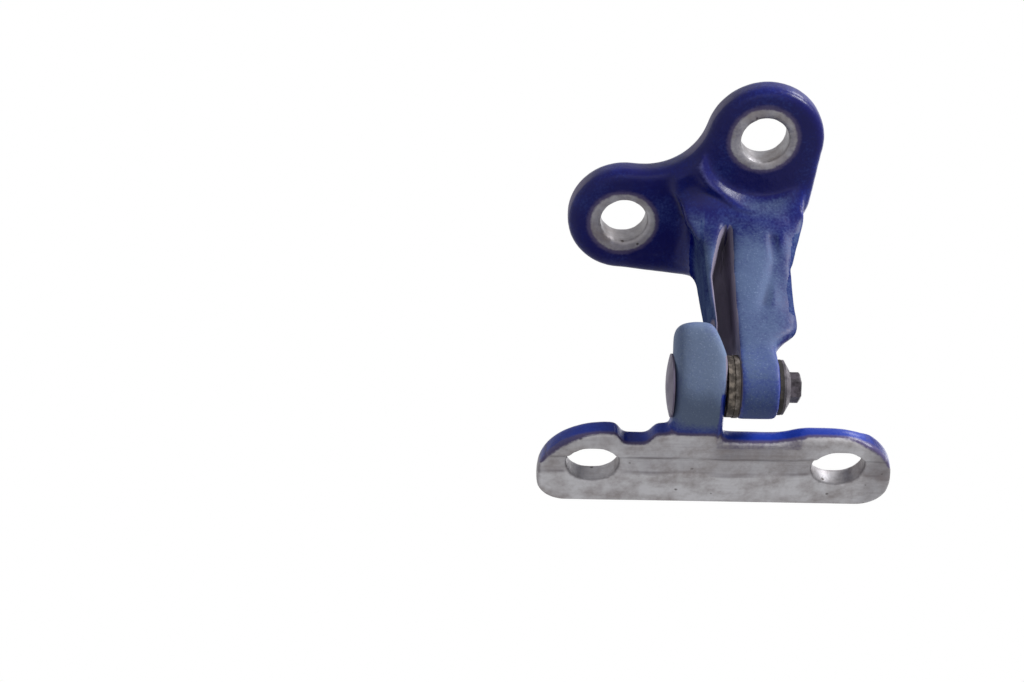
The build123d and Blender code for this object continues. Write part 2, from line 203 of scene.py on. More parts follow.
@dataclass(frozen=True)
class ForgingPaint:
    """Body-colour enamel on a drop-forged steel leaf, bare where it was clamped.

    The eye gets a deep satin blue with an orange-peel skin over a slightly lumpy forging, chalky
    grey-blue where dust and weather dulled it, paler rims where the paint is thin with a painted
    highlight laid on the proud edges, painted shade laid in sunk corners, and brushed grey steel with
    stains on the faces that were covered when the car was painted.
    """

    name: str
    deep: str = "#090a54"
    bright: str = "#1a3392"
    chalk: str = "#61708c"
    chalk_pale: str = "#8490ac"
    # Paler lavender on proud edges: partly paint worn thin, partly a painted highlight
    rim: str = "#7476b2"
    # Painted shade: a dark colour laid in sunk corners
    hollow: str = "#1d1838"
    fringe: str = "#4f476a"
    grime: str = "#7a7486"
    steel_dark: str = "#757277"
    steel_light: str = "#b2b1b5"
    stain: str = "#6b6260"
    pit: str = "#3c3633"
    cloud_mm: float = 14.0
    peel_mm: float = 2.4
    grit_mm: float = 0.8
    speckle_mm: float = 0.55
    streak_mm: tuple[float, float, float] = (0.8, 0.8, 16.0)
    streak_share: float = 0.4
    bloom_mm: float = 17.0
    bloom_share: float = 1.4
    stain_mm: float = 9.0
    pit_mm: float = 7.0
    pit_ragged: float = 0.12
    # How far painted shade in sunk corners darkens the bare steel
    crease_shade_share: float = 0.7
    peel_height_mm: float = 0.09
    grit_height_mm: float = 0.05
    fleck: float = 0.7
    tone_fleck: float = 0.6
    # How strongly the painted highlight on rims shows
    rim_highlight_share: float = 0.55
    bare_metal: float = 0.8
    bare_from: float = 0.35
    bare_edge_mm: float = 0.9
    bare_spread: float = 1.2
    thin_run: float = 1.6
    haze_mask: Mask = Mask(1.0, (0.35, 1.35))
    grime_mask: Mask = Mask(0.5, (0.2, 0.85))
    # Mask of the painted shade in sunk corners
    crease_shade_mask: Mask = Mask(0.1, (0.06, 0.4))
    tone_mask: Mask = Mask(1.1, (0.3, 1.3))
    # Mask of the painted highlight on rims
    rim_highlight_mask: Mask = Mask(0.2, (0.16, 0.5))

    def build(self, sheen: float = 0.2) -> bpy.types.Material:
        """Build the paint, the bare steel and the mask between them.

        Args:
            sheen: How much the skin shines, none where dust sticks to it.

        Returns:
            The finished material.
        """
        material, tree = new_material(self.name if sheen else f"dusty_{self.name}")
        coords = add_node(tree, "ShaderNodeTexCoord", output="Object")
        cloud = add_node(tree, "ShaderNodeTexNoise", {
            "Vector": coords, "Scale": per_mm(self.cloud_mm), "Detail": 4.0, "Roughness": 0.6})
        peel = add_node(tree, "ShaderNodeTexNoise", {
            "Vector": coords, "Scale": per_mm(self.peel_mm), "Detail": 1.0})
        grit = add_node(tree, "ShaderNodeTexNoise", {
            "Vector": coords, "Scale": per_mm(self.grit_mm), "Detail": 3.0})
        field = {
            entry: add_node(tree, "ShaderNodeAttribute", attribute_name=entry.value, output="Fac")
            for entry in (Field.BARE, Field.TONE, Field.HAZE, Field.GRIME, Field.EDGE)
        }
        edge_wear = add_node(tree, "ShaderNodeMapRange", {
            "Value": field[Field.EDGE], "From Min": 0.05, "From Max": 0.4, "To Max": -0.5})
        kept_haze = add_node(tree, "ShaderNodeMath", {0: field[Field.HAZE], 1: edge_wear},
                             operation="ADD")
        flecked = add_node(tree, "ShaderNodeMath", {0: grit, 1: self.fleck, 2: kept_haze},
                           operation="MULTIPLY_ADD")
        haze = self._broken(tree, flecked, cloud, self.haze_mask)
        grained = add_node(tree, "ShaderNodeMath", {0: grit, 1: self.fleck, 2: field[Field.BARE]},
                           operation="MULTIPLY_ADD")
        bare_span = (self.bare_from, self.bare_from + self.bare_edge_mm)
        bare = self._broken(tree, grained, cloud, Mask(self.bare_spread, bare_span))
        thin_span = (self.bare_from - self.thin_run * self.bare_edge_mm, self.bare_from)
        thin = self._broken(tree, grained, cloud, Mask(self.bare_spread, thin_span))
        grime = self._broken(tree, field[Field.GRIME], cloud, self.grime_mask)
        # Painted shade: sunk corners get a dark colour
        sunk = add_node(tree, "ShaderNodeMath", {0: field[Field.EDGE], 1: -1.0}, operation="MULTIPLY")
        hollow = self._broken(tree, sunk, cloud, self.crease_shade_mask)
        paint = self._paint_colour(tree, coords, field, {"haze": haze, "hollow": hollow, "grime": grime},
                                   cloud, grit)
        steel = self._steel_colour(tree, coords, field[Field.TONE], hollow, grit)
        worn = add_node(tree, "ShaderNodeMix", {
            "Factor": thin, "A": paint, "B": linear(self.fringe)}, data_type="RGBA")
        colour = add_node(tree, "ShaderNodeMix", {
            "Factor": bare, "A": worn, "B": steel}, data_type="RGBA")
        dulled = add_node(tree, "ShaderNodeMath", {0: haze, 1: grime}, operation="MAXIMUM")
        satin = add_node(tree, "ShaderNodeMapRange", {"Value": dulled, "To Min": 0.33, "To Max": 0.72})
        brushed = add_node(tree, "ShaderNodeMapRange", {"Value": grit, "To Min": 0.40, "To Max": 0.60})
        rough = add_node(tree, "ShaderNodeMix", {
            "Factor": bare, "A": satin, "B": brushed}, data_type="FLOAT")
        metallic = add_node(tree, "ShaderNodeMath", {0: bare, 1: self.bare_metal}, operation="MULTIPLY")
        lumps = add_node(tree, "ShaderNodeBump", {
            "Height": peel, "Distance": self.peel_height_mm * MM, "Strength": 1.0})
        skin = add_node(tree, "ShaderNodeBump", {
            "Height": grit, "Distance": self.grit_height_mm * MM, "Strength": 1.0, "Normal": lumps})
        shader = add_node(tree, "ShaderNodeBsdfPrincipled", {
            "Base Color": colour, "Roughness": rough, "Metallic": metallic, "Normal": skin,
            "Specular IOR Level": sheen})
        add_node(tree, "ShaderNodeOutputMaterial", {"Surface": shader})
        return material

    def _broken(self, tree: bpy.types.NodeTree, field: bpy.types.NodeSocket, noise: bpy.types.NodeSocket,
                mask: Mask) -> bpy.types.NodeSocket:
        """Turn a field into a mask whose edge wanders with a noise.

        Args:
            tree: The material's node tree.
            field: The field that the mask follows.
            noise: The noise that moves its edge.
            mask: How far the noise moves it and where the mask rises, in the field's own unit.

        Returns:
            The mask, from 0 to 1.
        """
        centred = add_node(tree, "ShaderNodeMath", {0: noise, 1: 0.5}, operation="SUBTRACT")
        moved = add_node(tree, "ShaderNodeMath", {0: centred, 1: mask.spread, 2: field},
                         operation="MULTIPLY_ADD")
        return add_node(tree, "ShaderNodeMapRange", {
            "Value": moved, "From Min": mask.span[0], "From Max": mask.span[1]},
            interpolation_type="SMOOTHSTEP")

    def _paint_colour(self, tree: bpy.types.NodeTree, coords: bpy.types.NodeSocket,
                      field: dict[Field, bpy.types.NodeSocket], mask: dict[str, bpy.types.NodeSocket],
                      cloud: bpy.types.NodeSocket, grit: bpy.types.NodeSocket) -> bpy.types.NodeSocket:
        """Lay the enamel's colour, its chalky haze, painted highlights on rims, painted shade in hollows
        and grime over each other.

        Args:
            tree: The material's node tree.
            coords: Object coordinates.
            field: The skin's fields by name.
            mask: The masks of chalky haze, painted shade in hollows and grime.
            cloud: The slow noise.
            grit: The fine noise.

        Returns:
            The paint's colour.
        """
        flecked = add_node(tree, "ShaderNodeMath", {0: grit, 1: self.tone_fleck, 2: field[Field.TONE]},
                           operation="MULTIPLY_ADD")
        drift = self._broken(tree, flecked, cloud, self.tone_mask)
        enamel = add_node(tree, "ShaderNodeMix", {
            "Factor": drift, "A": linear(self.deep), "B": linear(self.bright)}, data_type="RGBA")
        speckle = add_node(tree, "ShaderNodeTexNoise", {
            "Vector": coords, "Scale": per_mm(self.speckle_mm), "Detail": 2.0, "Roughness": 0.7})
        speckle_share = add_node(tree, "ShaderNodeMapRange", {
            "Value": speckle, "From Min": 0.58, "From Max": 0.72, "To Max": 0.6})
        chalk = add_node(tree, "ShaderNodeMix", {
            "Factor": speckle_share, "A": linear(self.chalk), "B": linear(self.chalk_pale)},
            data_type="RGBA")
        dulled = add_node(tree, "ShaderNodeMix", {
            "Factor": mask["haze"], "A": enamel, "B": chalk}, data_type="RGBA")
        # Painted highlight: proud edges get a paler lavender, partly also paint worn thin
        rim = self._broken(tree, field[Field.EDGE], grit, self.rim_highlight_mask)
        rim_highlight_part = add_node(tree, "ShaderNodeMath", {0: rim, 1: self.rim_highlight_share}, operation="MULTIPLY")
        rim_highlighted = add_node(tree, "ShaderNodeMix", {
            "Factor": rim_highlight_part, "A": dulled, "B": linear(self.rim)}, data_type="RGBA")
        # Painted shade laid in sunk corners
        crease_shaded = add_node(tree, "ShaderNodeMix", {
            "Factor": mask["hollow"], "A": rim_highlighted, "B": linear(self.hollow)}, data_type="RGBA")
        return add_node(tree, "ShaderNodeMix", {
            "Factor": mask["grime"], "A": crease_shaded, "B": linear(self.grime)}, data_type="RGBA")

    def _steel_colour(self, tree: bpy.types.NodeTree, coords: bpy.types.NodeSocket,
                      tone: bpy.types.NodeSocket, hollow: bpy.types.NodeSocket,
                      grit: bpy.types.NodeSocket) -> bpy.types.NodeSocket:
        """Draw streaked bare steel with stains, a few pits and painted shade in sunk corners.

        Args:
            tree: The material's node tree.
            coords: Object coordinates.
            tone: How light the steel is, from 0 to 1.
            hollow: The mask of sunk corners, darkened there as painted shade.
            grit: The fine noise.

        Returns:
            The steel's colour.
        """
        stretch = Vector([per_mm(size) for size in self.streak_mm])
        along = add_node(tree, "ShaderNodeMapping", {"Vector": coords, "Scale": stretch})
        streak = add_node(tree, "ShaderNodeTexNoise", {"Vector": along, "Scale": 1.0, "Detail": 4.0})
        drawn = add_node(tree, "ShaderNodeMath", {0: streak, 1: 0.5}, operation="SUBTRACT")
        drawn_tone = add_node(tree, "ShaderNodeMath", {0: drawn, 1: self.streak_share, 2: tone},
                              operation="MULTIPLY_ADD")
        bloom = add_node(tree, "ShaderNodeTexNoise", {
            "Vector": coords, "Scale": per_mm(self.bloom_mm), "Detail": 5.0, "Roughness": 0.6})
        bloom_step = add_node(tree, "ShaderNodeMath", {0: bloom, 1: 0.5}, operation="SUBTRACT")
        light = add_node(tree, "ShaderNodeMath", {0: bloom_step, 1: self.bloom_share, 2: drawn_tone},
                         operation="MULTIPLY_ADD", use_clamp=True)
        brushed = add_node(tree, "ShaderNodeMix", {
            "Factor": light, "A": linear(self.steel_dark), "B": linear(self.steel_light)},
            data_type="RGBA")
        stain = add_node(tree, "ShaderNodeTexNoise", {
            "Vector": coords, "Scale": per_mm(self.stain_mm), "Detail": 6.0, "Roughness": 0.65})
        stain_share = add_node(tree, "ShaderNodeMapRange", {
            "Value": stain, "From Min": 0.42, "From Max": 0.7, "To Max": 0.75})
        stained = add_node(tree, "ShaderNodeMix", {
            "Factor": stain_share, "A": brushed, "B": linear(self.stain)}, data_type="RGBA")
        pit = add_node(tree, "ShaderNodeTexVoronoi", {
            "Vector": coords, "Scale": per_mm(self.pit_mm)}, output="Distance")
        pit_edge = add_node(tree, "ShaderNodeMath", {0: grit, 1: self.pit_ragged, 2: pit},
                            operation="MULTIPLY_ADD")
        pit_share = add_node(tree, "ShaderNodeMapRange", {
            "Value": pit_edge, "From Min": 0.15, "From Max": 0.10, "To Max": 0.8})
        pitted = add_node(tree, "ShaderNodeMix", {
            "Factor": pit_share, "A": stained, "B": linear(self.pit)}, data_type="RGBA")
        # Painted shade: sunk corners of the bare steel darken towards the pit colour
        darkening = add_node(tree, "ShaderNodeMath", {0: hollow, 1: self.crease_shade_share}, operation="MULTIPLY")
        return add_node(tree, "ShaderNodeMix", {
            "Factor": darkening, "A": pitted, "B": linear(self.pit)}, data_type="RGBA")


@dataclass(frozen=True)
class WornMetal:
    """A small turned or headed metal piece, dull with handling, grease and dirt.

    The eye gets one metal with cloudy darker film over it, fine lathe or rolling grain and a soft sheen.
    """

    name: str
    metal: str
    film: str
    film_from: float = 0.35
    film_to: float = 0.7
    film_mm: float = 2.6
    grain_mm: float = 0.35
    grain_height_mm: float = 0.02
    metallic: float = 0.8
    rough_clean: float = 0.35
    rough_film: float = 0.65

    def build(self) -> bpy.types.Material:
        """Build the metal and its film.

        Returns:
            The finished material.
        """
        material, tree = new_material(self.name)
        coords = add_node(tree, "ShaderNodeTexCoord", output="Object")
        cloud = add_node(tree, "ShaderNodeTexNoise", {
            "Vector": coords, "Scale": per_mm(self.film_mm), "Detail": 5.0, "Roughness": 0.62})
        grain = add_node(tree, "ShaderNodeTexNoise", {
            "Vector": coords, "Scale": per_mm(self.grain_mm), "Detail": 2.0})
        film = add_node(tree, "ShaderNodeMapRange", {
            "Value": cloud, "From Min": self.film_from, "From Max": self.film_to},
            interpolation_type="SMOOTHSTEP")
        colour = add_node(tree, "ShaderNodeMix", {
            "Factor": film, "A": linear(self.metal), "B": linear(self.film)}, data_type="RGBA")
        rough = add_node(tree, "ShaderNodeMapRange", {
            "Value": film, "To Min": self.rough_clean, "To Max": self.rough_film})
        skin = add_node(tree, "ShaderNodeBump", {
            "Height": grain, "Distance": self.grain_height_mm * MM, "Strength": 1.0})
        shader = add_node(tree, "ShaderNodeBsdfPrincipled", {
            "Base Color": colour, "Roughness": rough, "Metallic": self.metallic, "Normal": skin})
        add_node(tree, "ShaderNodeOutputMaterial", {"Surface": shader})
        return material


@dataclass(frozen=True)
class ForgedSkin:
    """The rule that gives a leaf its forged skin: soft edges, filled corners and slight lumps."""

    voxel_mm: float = 0.5
    relax_passes: int = 6
    melt_passes: int = 60
    fill_passes: int = 320
    edge_passes: int = 14
    lump_mm: float = 11.0
    lump_height_mm: float = 0.3

    def wrap(self, node: str, leaf: "Leaf", paint: ForgingPaint) -> bpy.types.Object:
        """Make a leaf's visible skin from its CAD solid.

        Args:
            node: The CAD node that the skin stands for.
            leaf: The leaf that knows its own clamped, dull and dirty places.
            paint: The finish.

        Returns:
            The new piece, at the origin.
        """
        piece = self._voxel_copy(node)
        points, normals = surface(piece.data)
        points = leaf.shape(points)
        piece.data.vertices.foreach_set("co", (points * MM).astype(np.float32).ravel())
        for field, values in leaf.fields(points, normals).items():
            entry = piece.data.attributes.new(field.value, "FLOAT", "POINT")
            entry.data.foreach_set("value", values.astype(np.float32))
        tree = self.tree(paint.build(), paint.build(sheen=0.0))
        skin = piece.modifiers.new("skin", "NODES")
        skin.node_group = tree
        sizes = {
            "Relax passes": self.relax_passes,
            "Melt passes": self.melt_passes,
            "Fill passes": self.fill_passes,
            "Edge passes": self.edge_passes,
            "Lump size": self.lump_mm * MM,
            "Lump height": self.lump_height_mm * MM,
        }
        for socket in tree.interface.items_tree:
            if socket.name in sizes:
                skin[socket.identifier] = sizes[socket.name]
        bake(piece)
        return piece

    def _voxel_copy(self, node: str) -> bpy.types.Object:
        """Copy a CAD node's mesh, weld it and give it an even skin of small faces.

        Args:
            node: The CAD node to copy.

        Returns:
            The new piece, still without a finish.
        """
        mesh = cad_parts[node].data.copy()
        mesh.materials.clear()
        welded = bmesh.new()
        welded.from_mesh(mesh)
        bmesh.ops.remove_doubles(welded, verts=welded.verts, dist=MERGE_MM * MM)
        welded.to_mesh(mesh)
        welded.free()
        piece = bpy.data.objects.new(f"{node}_skin", mesh)
        bpy.context.scene.collection.objects.link(piece)
        voxels = piece.modifiers.new("voxels", "REMESH")
        voxels.mode = "VOXEL"
        voxels.voxel_size = self.voxel_mm * MM
        bake(piece)
        return piece

    def tree(self, paint: bpy.types.Material, dusty: bpy.types.Material) -> bpy.types.GeometryNodeTree:
        """Build the node tree that relaxes a mesh, lumps it and marks its edges.

        Args:
            paint: The finish that the tree sets.
            dusty: The same finish without sheen, for the dusty faces.

        Returns:
            The Geometry Nodes tree.
        """
        tree = bpy.data.node_groups.new("forged_skin", "GeometryNodeTree")
        tree.interface.new_socket("Geometry", in_out="INPUT", socket_type="NodeSocketGeometry")
        for name, kind in (("Relax passes", "NodeSocketInt"), ("Melt passes", "NodeSocketInt"),
                           ("Fill passes", "NodeSocketInt"), ("Edge passes", "NodeSocketInt"),
                           ("Lump size", "NodeSocketFloat"), ("Lump height", "NodeSocketFloat")):
            tree.interface.new_socket(name, in_out="INPUT", socket_type=kind)
        tree.interface.new_socket("Geometry", in_out="OUTPUT", socket_type="NodeSocketGeometry")
        given = add_node(tree, "NodeGroupInput").node.outputs
        relax, melt, fill, dust = (
            add_node(tree, "GeometryNodeInputNamedAttribute", {"Name": field.value},
                     output="Attribute", data_type="FLOAT")
            for field in (Field.RELAX, Field.MELT, Field.FILL, Field.DUSTY)
        )
        settled = self._soften(tree, given, (relax, melt, fill))
        lumped = self._lump(tree, given, settled, relax)
        marked = self._mark_edges(tree, given, lumped)
        smooth = add_node(tree, "GeometryNodeSetShadeSmooth", {"Geometry": marked})
        whole = add_node(tree, "GeometryNodeRealizeInstances", {"Geometry": smooth})
        painted = add_node(tree, "GeometryNodeSetMaterial", {"Geometry": whole, "Material": paint})
        dull = add_node(tree, "FunctionNodeCompare", {0: dust, 1: 0.5}, operation="GREATER_THAN")
        dressed = add_node(tree, "GeometryNodeSetMaterial", {
            "Geometry": painted, "Selection": dull, "Material": dusty})
        add_node(tree, "NodeGroupOutput", {"Geometry": dressed})
        return tree

    def _soften(self, tree: bpy.types.GeometryNodeTree, given: bpy.types.NodeOutputs,
                shares: tuple[bpy.types.NodeSocket, ...]) -> bpy.types.NodeSocket:
        """Ease all edges, melt the softest ones and fill the hollow corners.

        Args:
            tree: The node tree.
            given: The tree's named inputs.
            shares: How far each point eases, melts and fills.

        Returns:
            The softened geometry.
        """
        relax, melt, fill = shares
        place = add_node(tree, "GeometryNodeInputPosition")
        eased, melted, level = (
            add_node(tree, "GeometryNodeBlurAttribute", {
                "Value": place, "Iterations": given[passes], "Weight": weight}, data_type="FLOAT_VECTOR")
            for passes, weight in (("Relax passes", relax), ("Melt passes", melt), ("Fill passes", fill))
        )
        eased_skin = add_node(tree, "GeometryNodeSetPosition", {
            "Geometry": given["Geometry"], "Position": eased})
        soft = add_node(tree, "GeometryNodeSetPosition", {"Geometry": eased_skin, "Position": melted})
        normal = add_node(tree, "GeometryNodeInputNormal")
        short = add_node(tree, "ShaderNodeVectorMath", {0: level, 1: place}, operation="SUBTRACT")
        rise_short = add_node(tree, "ShaderNodeVectorMath", {0: short, 1: normal},
                              operation="DOT_PRODUCT")
        outward = add_node(tree, "ShaderNodeMath", {0: rise_short, 1: 0.0}, operation="MAXIMUM")
        flow = add_node(tree, "ShaderNodeVectorMath", {0: normal, "Scale": outward}, operation="SCALE")
        filled = add_node(tree, "GeometryNodeSetPosition", {"Geometry": soft, "Offset": flow})
        return add_node(tree, "GeometryNodeSetPosition", {"Geometry": filled, "Position": eased})

    def _lump(self, tree: bpy.types.GeometryNodeTree, given: bpy.types.NodeOutputs,
              geometry: bpy.types.NodeSocket, relax: bpy.types.NodeSocket) -> bpy.types.NodeSocket:
        """Push the skin in and out by the forging's slight lumps.

        Args:
            tree: The node tree.
            given: The tree's named inputs.
            geometry: The softened geometry.
            relax: How far each point eases; machined places stay flat.

        Returns:
            The lumped geometry.
        """
        normal = add_node(tree, "GeometryNodeInputNormal")
        scale = add_node(tree, "ShaderNodeMath", {0: 1.0, 1: given["Lump size"]}, operation="DIVIDE")
        noise = add_node(tree, "ShaderNodeTexNoise", {"Scale": scale, "Detail": 2.0})
        centred = add_node(tree, "ShaderNodeMath", {0: noise, 1: 0.5}, operation="SUBTRACT")
        free = add_node(tree, "ShaderNodeMath", {0: centred, 1: relax}, operation="MULTIPLY")
        height = add_node(tree, "ShaderNodeMath", {0: free, 1: given["Lump height"]},
                          operation="MULTIPLY")
        push = add_node(tree, "ShaderNodeVectorMath", {0: normal, "Scale": height}, operation="SCALE")
        return add_node(tree, "GeometryNodeSetPosition", {"Geometry": geometry, "Offset": push})

    def _mark_edges(self, tree: bpy.types.GeometryNodeTree, given: bpy.types.NodeOutputs,
                    geometry: bpy.types.NodeSocket) -> bpy.types.NodeSocket:
        """Store how far each point stands proud of its surroundings, for painted highlights on rims and
        painted shade in hollows.

        Args:
            tree: The node tree.
            given: The tree's named inputs.
            geometry: The lumped geometry.

        Returns:
            The marked geometry.
        """
        place = add_node(tree, "GeometryNodeInputPosition")
        normal = add_node(tree, "GeometryNodeInputNormal")
        spread = add_node(tree, "GeometryNodeBlurAttribute", {
            "Value": place, "Iterations": given["Edge passes"]}, data_type="FLOAT_VECTOR")
        proud = add_node(tree, "ShaderNodeVectorMath", {0: place, 1: spread}, operation="SUBTRACT")
        rise = add_node(tree, "ShaderNodeVectorMath", {0: proud, 1: normal}, operation="DOT_PRODUCT")
        rise_mm = add_node(tree, "ShaderNodeMath", {0: rise, 1: 1.0 / MM}, operation="MULTIPLY")
        return add_node(tree, "GeometryNodeStoreNamedAttribute", {
            "Geometry": geometry, "Name": Field.EDGE.value, "Value": rise_mm},
            data_type="FLOAT", domain="POINT")


def bake(piece: bpy.types.Object) -> None:
    """Turn a piece's modifiers into a plain mesh.

    Args:
        piece: The piece, whose modifiers are then removed.
    """
    graph = bpy.context.evaluated_depsgraph_get()
    mesh = bpy.data.meshes.new_from_object(piece.evaluated_get(graph), preserve_all_data_layers=True,
                                           depsgraph=graph)
    piece.modifiers.clear()
    piece.data = mesh


def surface(mesh: bpy.types.Mesh) -> tuple[np.ndarray, np.ndarray]:
    """Read a mesh's points and normals.

    Args:
        mesh: The mesh to read.

    Returns:
        Points in mm and unit normals, one row each.
    """
    count = len(mesh.vertices)
    points = np.empty(count * 3, np.float32)
    normals = np.empty(count * 3, np.float32)
    mesh.vertices.foreach_get("co", points)
    mesh.vertex_normals.foreach_get("vector", normals)
    return points.reshape(-1, 3).astype(float) / MM, normals.reshape(-1, 3).astype(float)


@dataclass
class Leaf:
    """One forged leaf of the hinge."""

    node: str
    body: Body
    slot: str
    paint: ForgingPaint
    skin: ForgedSkin

    def build(self) -> bpy.types.Object:
        """Make the leaf's skin, dress it and let it stand for its CAD node.

        Returns:
            The finished piece.
        """
        piece = self.skin.wrap(self.node, self, self.paint)
        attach(piece, self.body.value)
        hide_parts(self.node)
        return piece

    def shape(self, points: np.ndarray) -> np.ndarray:
        """Round the forging's hollow corners; each leaf has its own."""
        raise NotImplementedError

    def fields(self, points: np.ndarray, normals: np.ndarray) -> dict[Field, np.ndarray]:
        """Say where the leaf is soft, bare, dull and dirty; each leaf has its own."""
        raise NotImplementedError


@dataclass(frozen=True)
class PlateForm:
    """Forms that forging gives the pillar leaf beyond its solid (mm)."""

    # The draft on the relief's floor
    relief_draft: float = 1.7
    floor_under: Span = (-1.2, -0.4)
    floor_over: Span = (0.9, 0.4)
    floor_start: Span = (-0.5, 0.5)
    floor_end: Span = (0.0, -5.0)

    # The fillet between that floor and the neck
    neck_fillet_r: float = 3.5
    fillet_front: float = -0.3
    fillet_back: float = 1.0


@dataclass(frozen=True)
class PlateWear:
    """Where the pillar leaf is bare, worn, dull and soft (mm, and shares of full strength)."""

    # Bare steel on the mating face, its rims and the bolts' prints
    face_depth: float = 0.6
    face_strip: Span = (9.0, 7.0)
    strip_gain: float = 4.0
    edge_paint: float = 0.5
    edge_lap: float = 0.5
    end_paint: float = 1.2
    side_bare: float = 0.8
    relief_start: Span = (-2.0, 0.0)
    relief_end: Span = (3.0, 0.0)
    plate_ends: Span = (-22.0, -8.0)
    rim_bare_x: float = -1.0
    rim_soft: Span = (-2.0, 2.0)
    rim_margin: float = 3.0
    rim_back: float = 1.0
    wall_reach: float = 0.6
    back_skin: float = 0.4

    # How light the steel is, the dirt that darkens it, and painted shade along the low rim
    tone_base: float = 0.7
    tone_below: float = 0.4
    tone_worn: float = 0.2
    tone_neck: float = 0.9
    below_groove: Span = (0.6, -0.2)
    worn_slot: Span = (6.0, 2.0)
    dirt_groove: float = 0.6
    groove_dirt: Span = (1.0, 0.1)
    groove_inset: float = 0.3
    groove_waves: tuple[tuple[float, float, float], ...] = ((0.5, 7.0, 0.0), (0.3, 2.9, 1.0))
    groove_fade: float = 0.35
    groove_patch: float = 4.1
    off_slot: Span = (0.5, 2.0)
    dirt_smudge: float = 0.45
    smudge_start: Span = (-4.0, 2.0)
    smudge_end: Span = (24.0, 18.0)
    smudge_up: Span = (1.0, 5.0)
    dirt_end: float = 0.5
    far_end: Span = (-12.0, -4.0)
    slot_wall: Span = (0.5, -0.5)
    # Painted shade along the plate's lower edge, which faces down
    low_rim_shade: float = 0.8
    low_rim: Span = (1.6, 0.2)

    # The neck's lit edge, the dull knuckle and the dusty side in the gap
    neck_slant: float = 0.7
    neck_top: Span = (24.0, 22.0)
    neck_edge: Span = (-2.2, -1.0)
    neck_foot: Span = (10.0, 12.0)
    haze_rise: Span = (-0.5, 8.0)
    gap_start_z: float = 0.6
    gap_facing: Span = (0.5, 0.9)
    gap_up: Span = (14.0, 17.0)

    # How far forging softened each place
    machined_hold: float = 0.65
    machined_face: Span = (-1.2, -0.2)
    machined_wall: Span = (-1.5, -0.5)
    knuckle_melt: float = 0.25
    knuckle_rise: Span = (0.0, 3.0)
    neck_melt: float = 0.8
    fill_rise: Span = (-5.0, -3.5)
    fill_back: Span = (-0.2, -1.2)


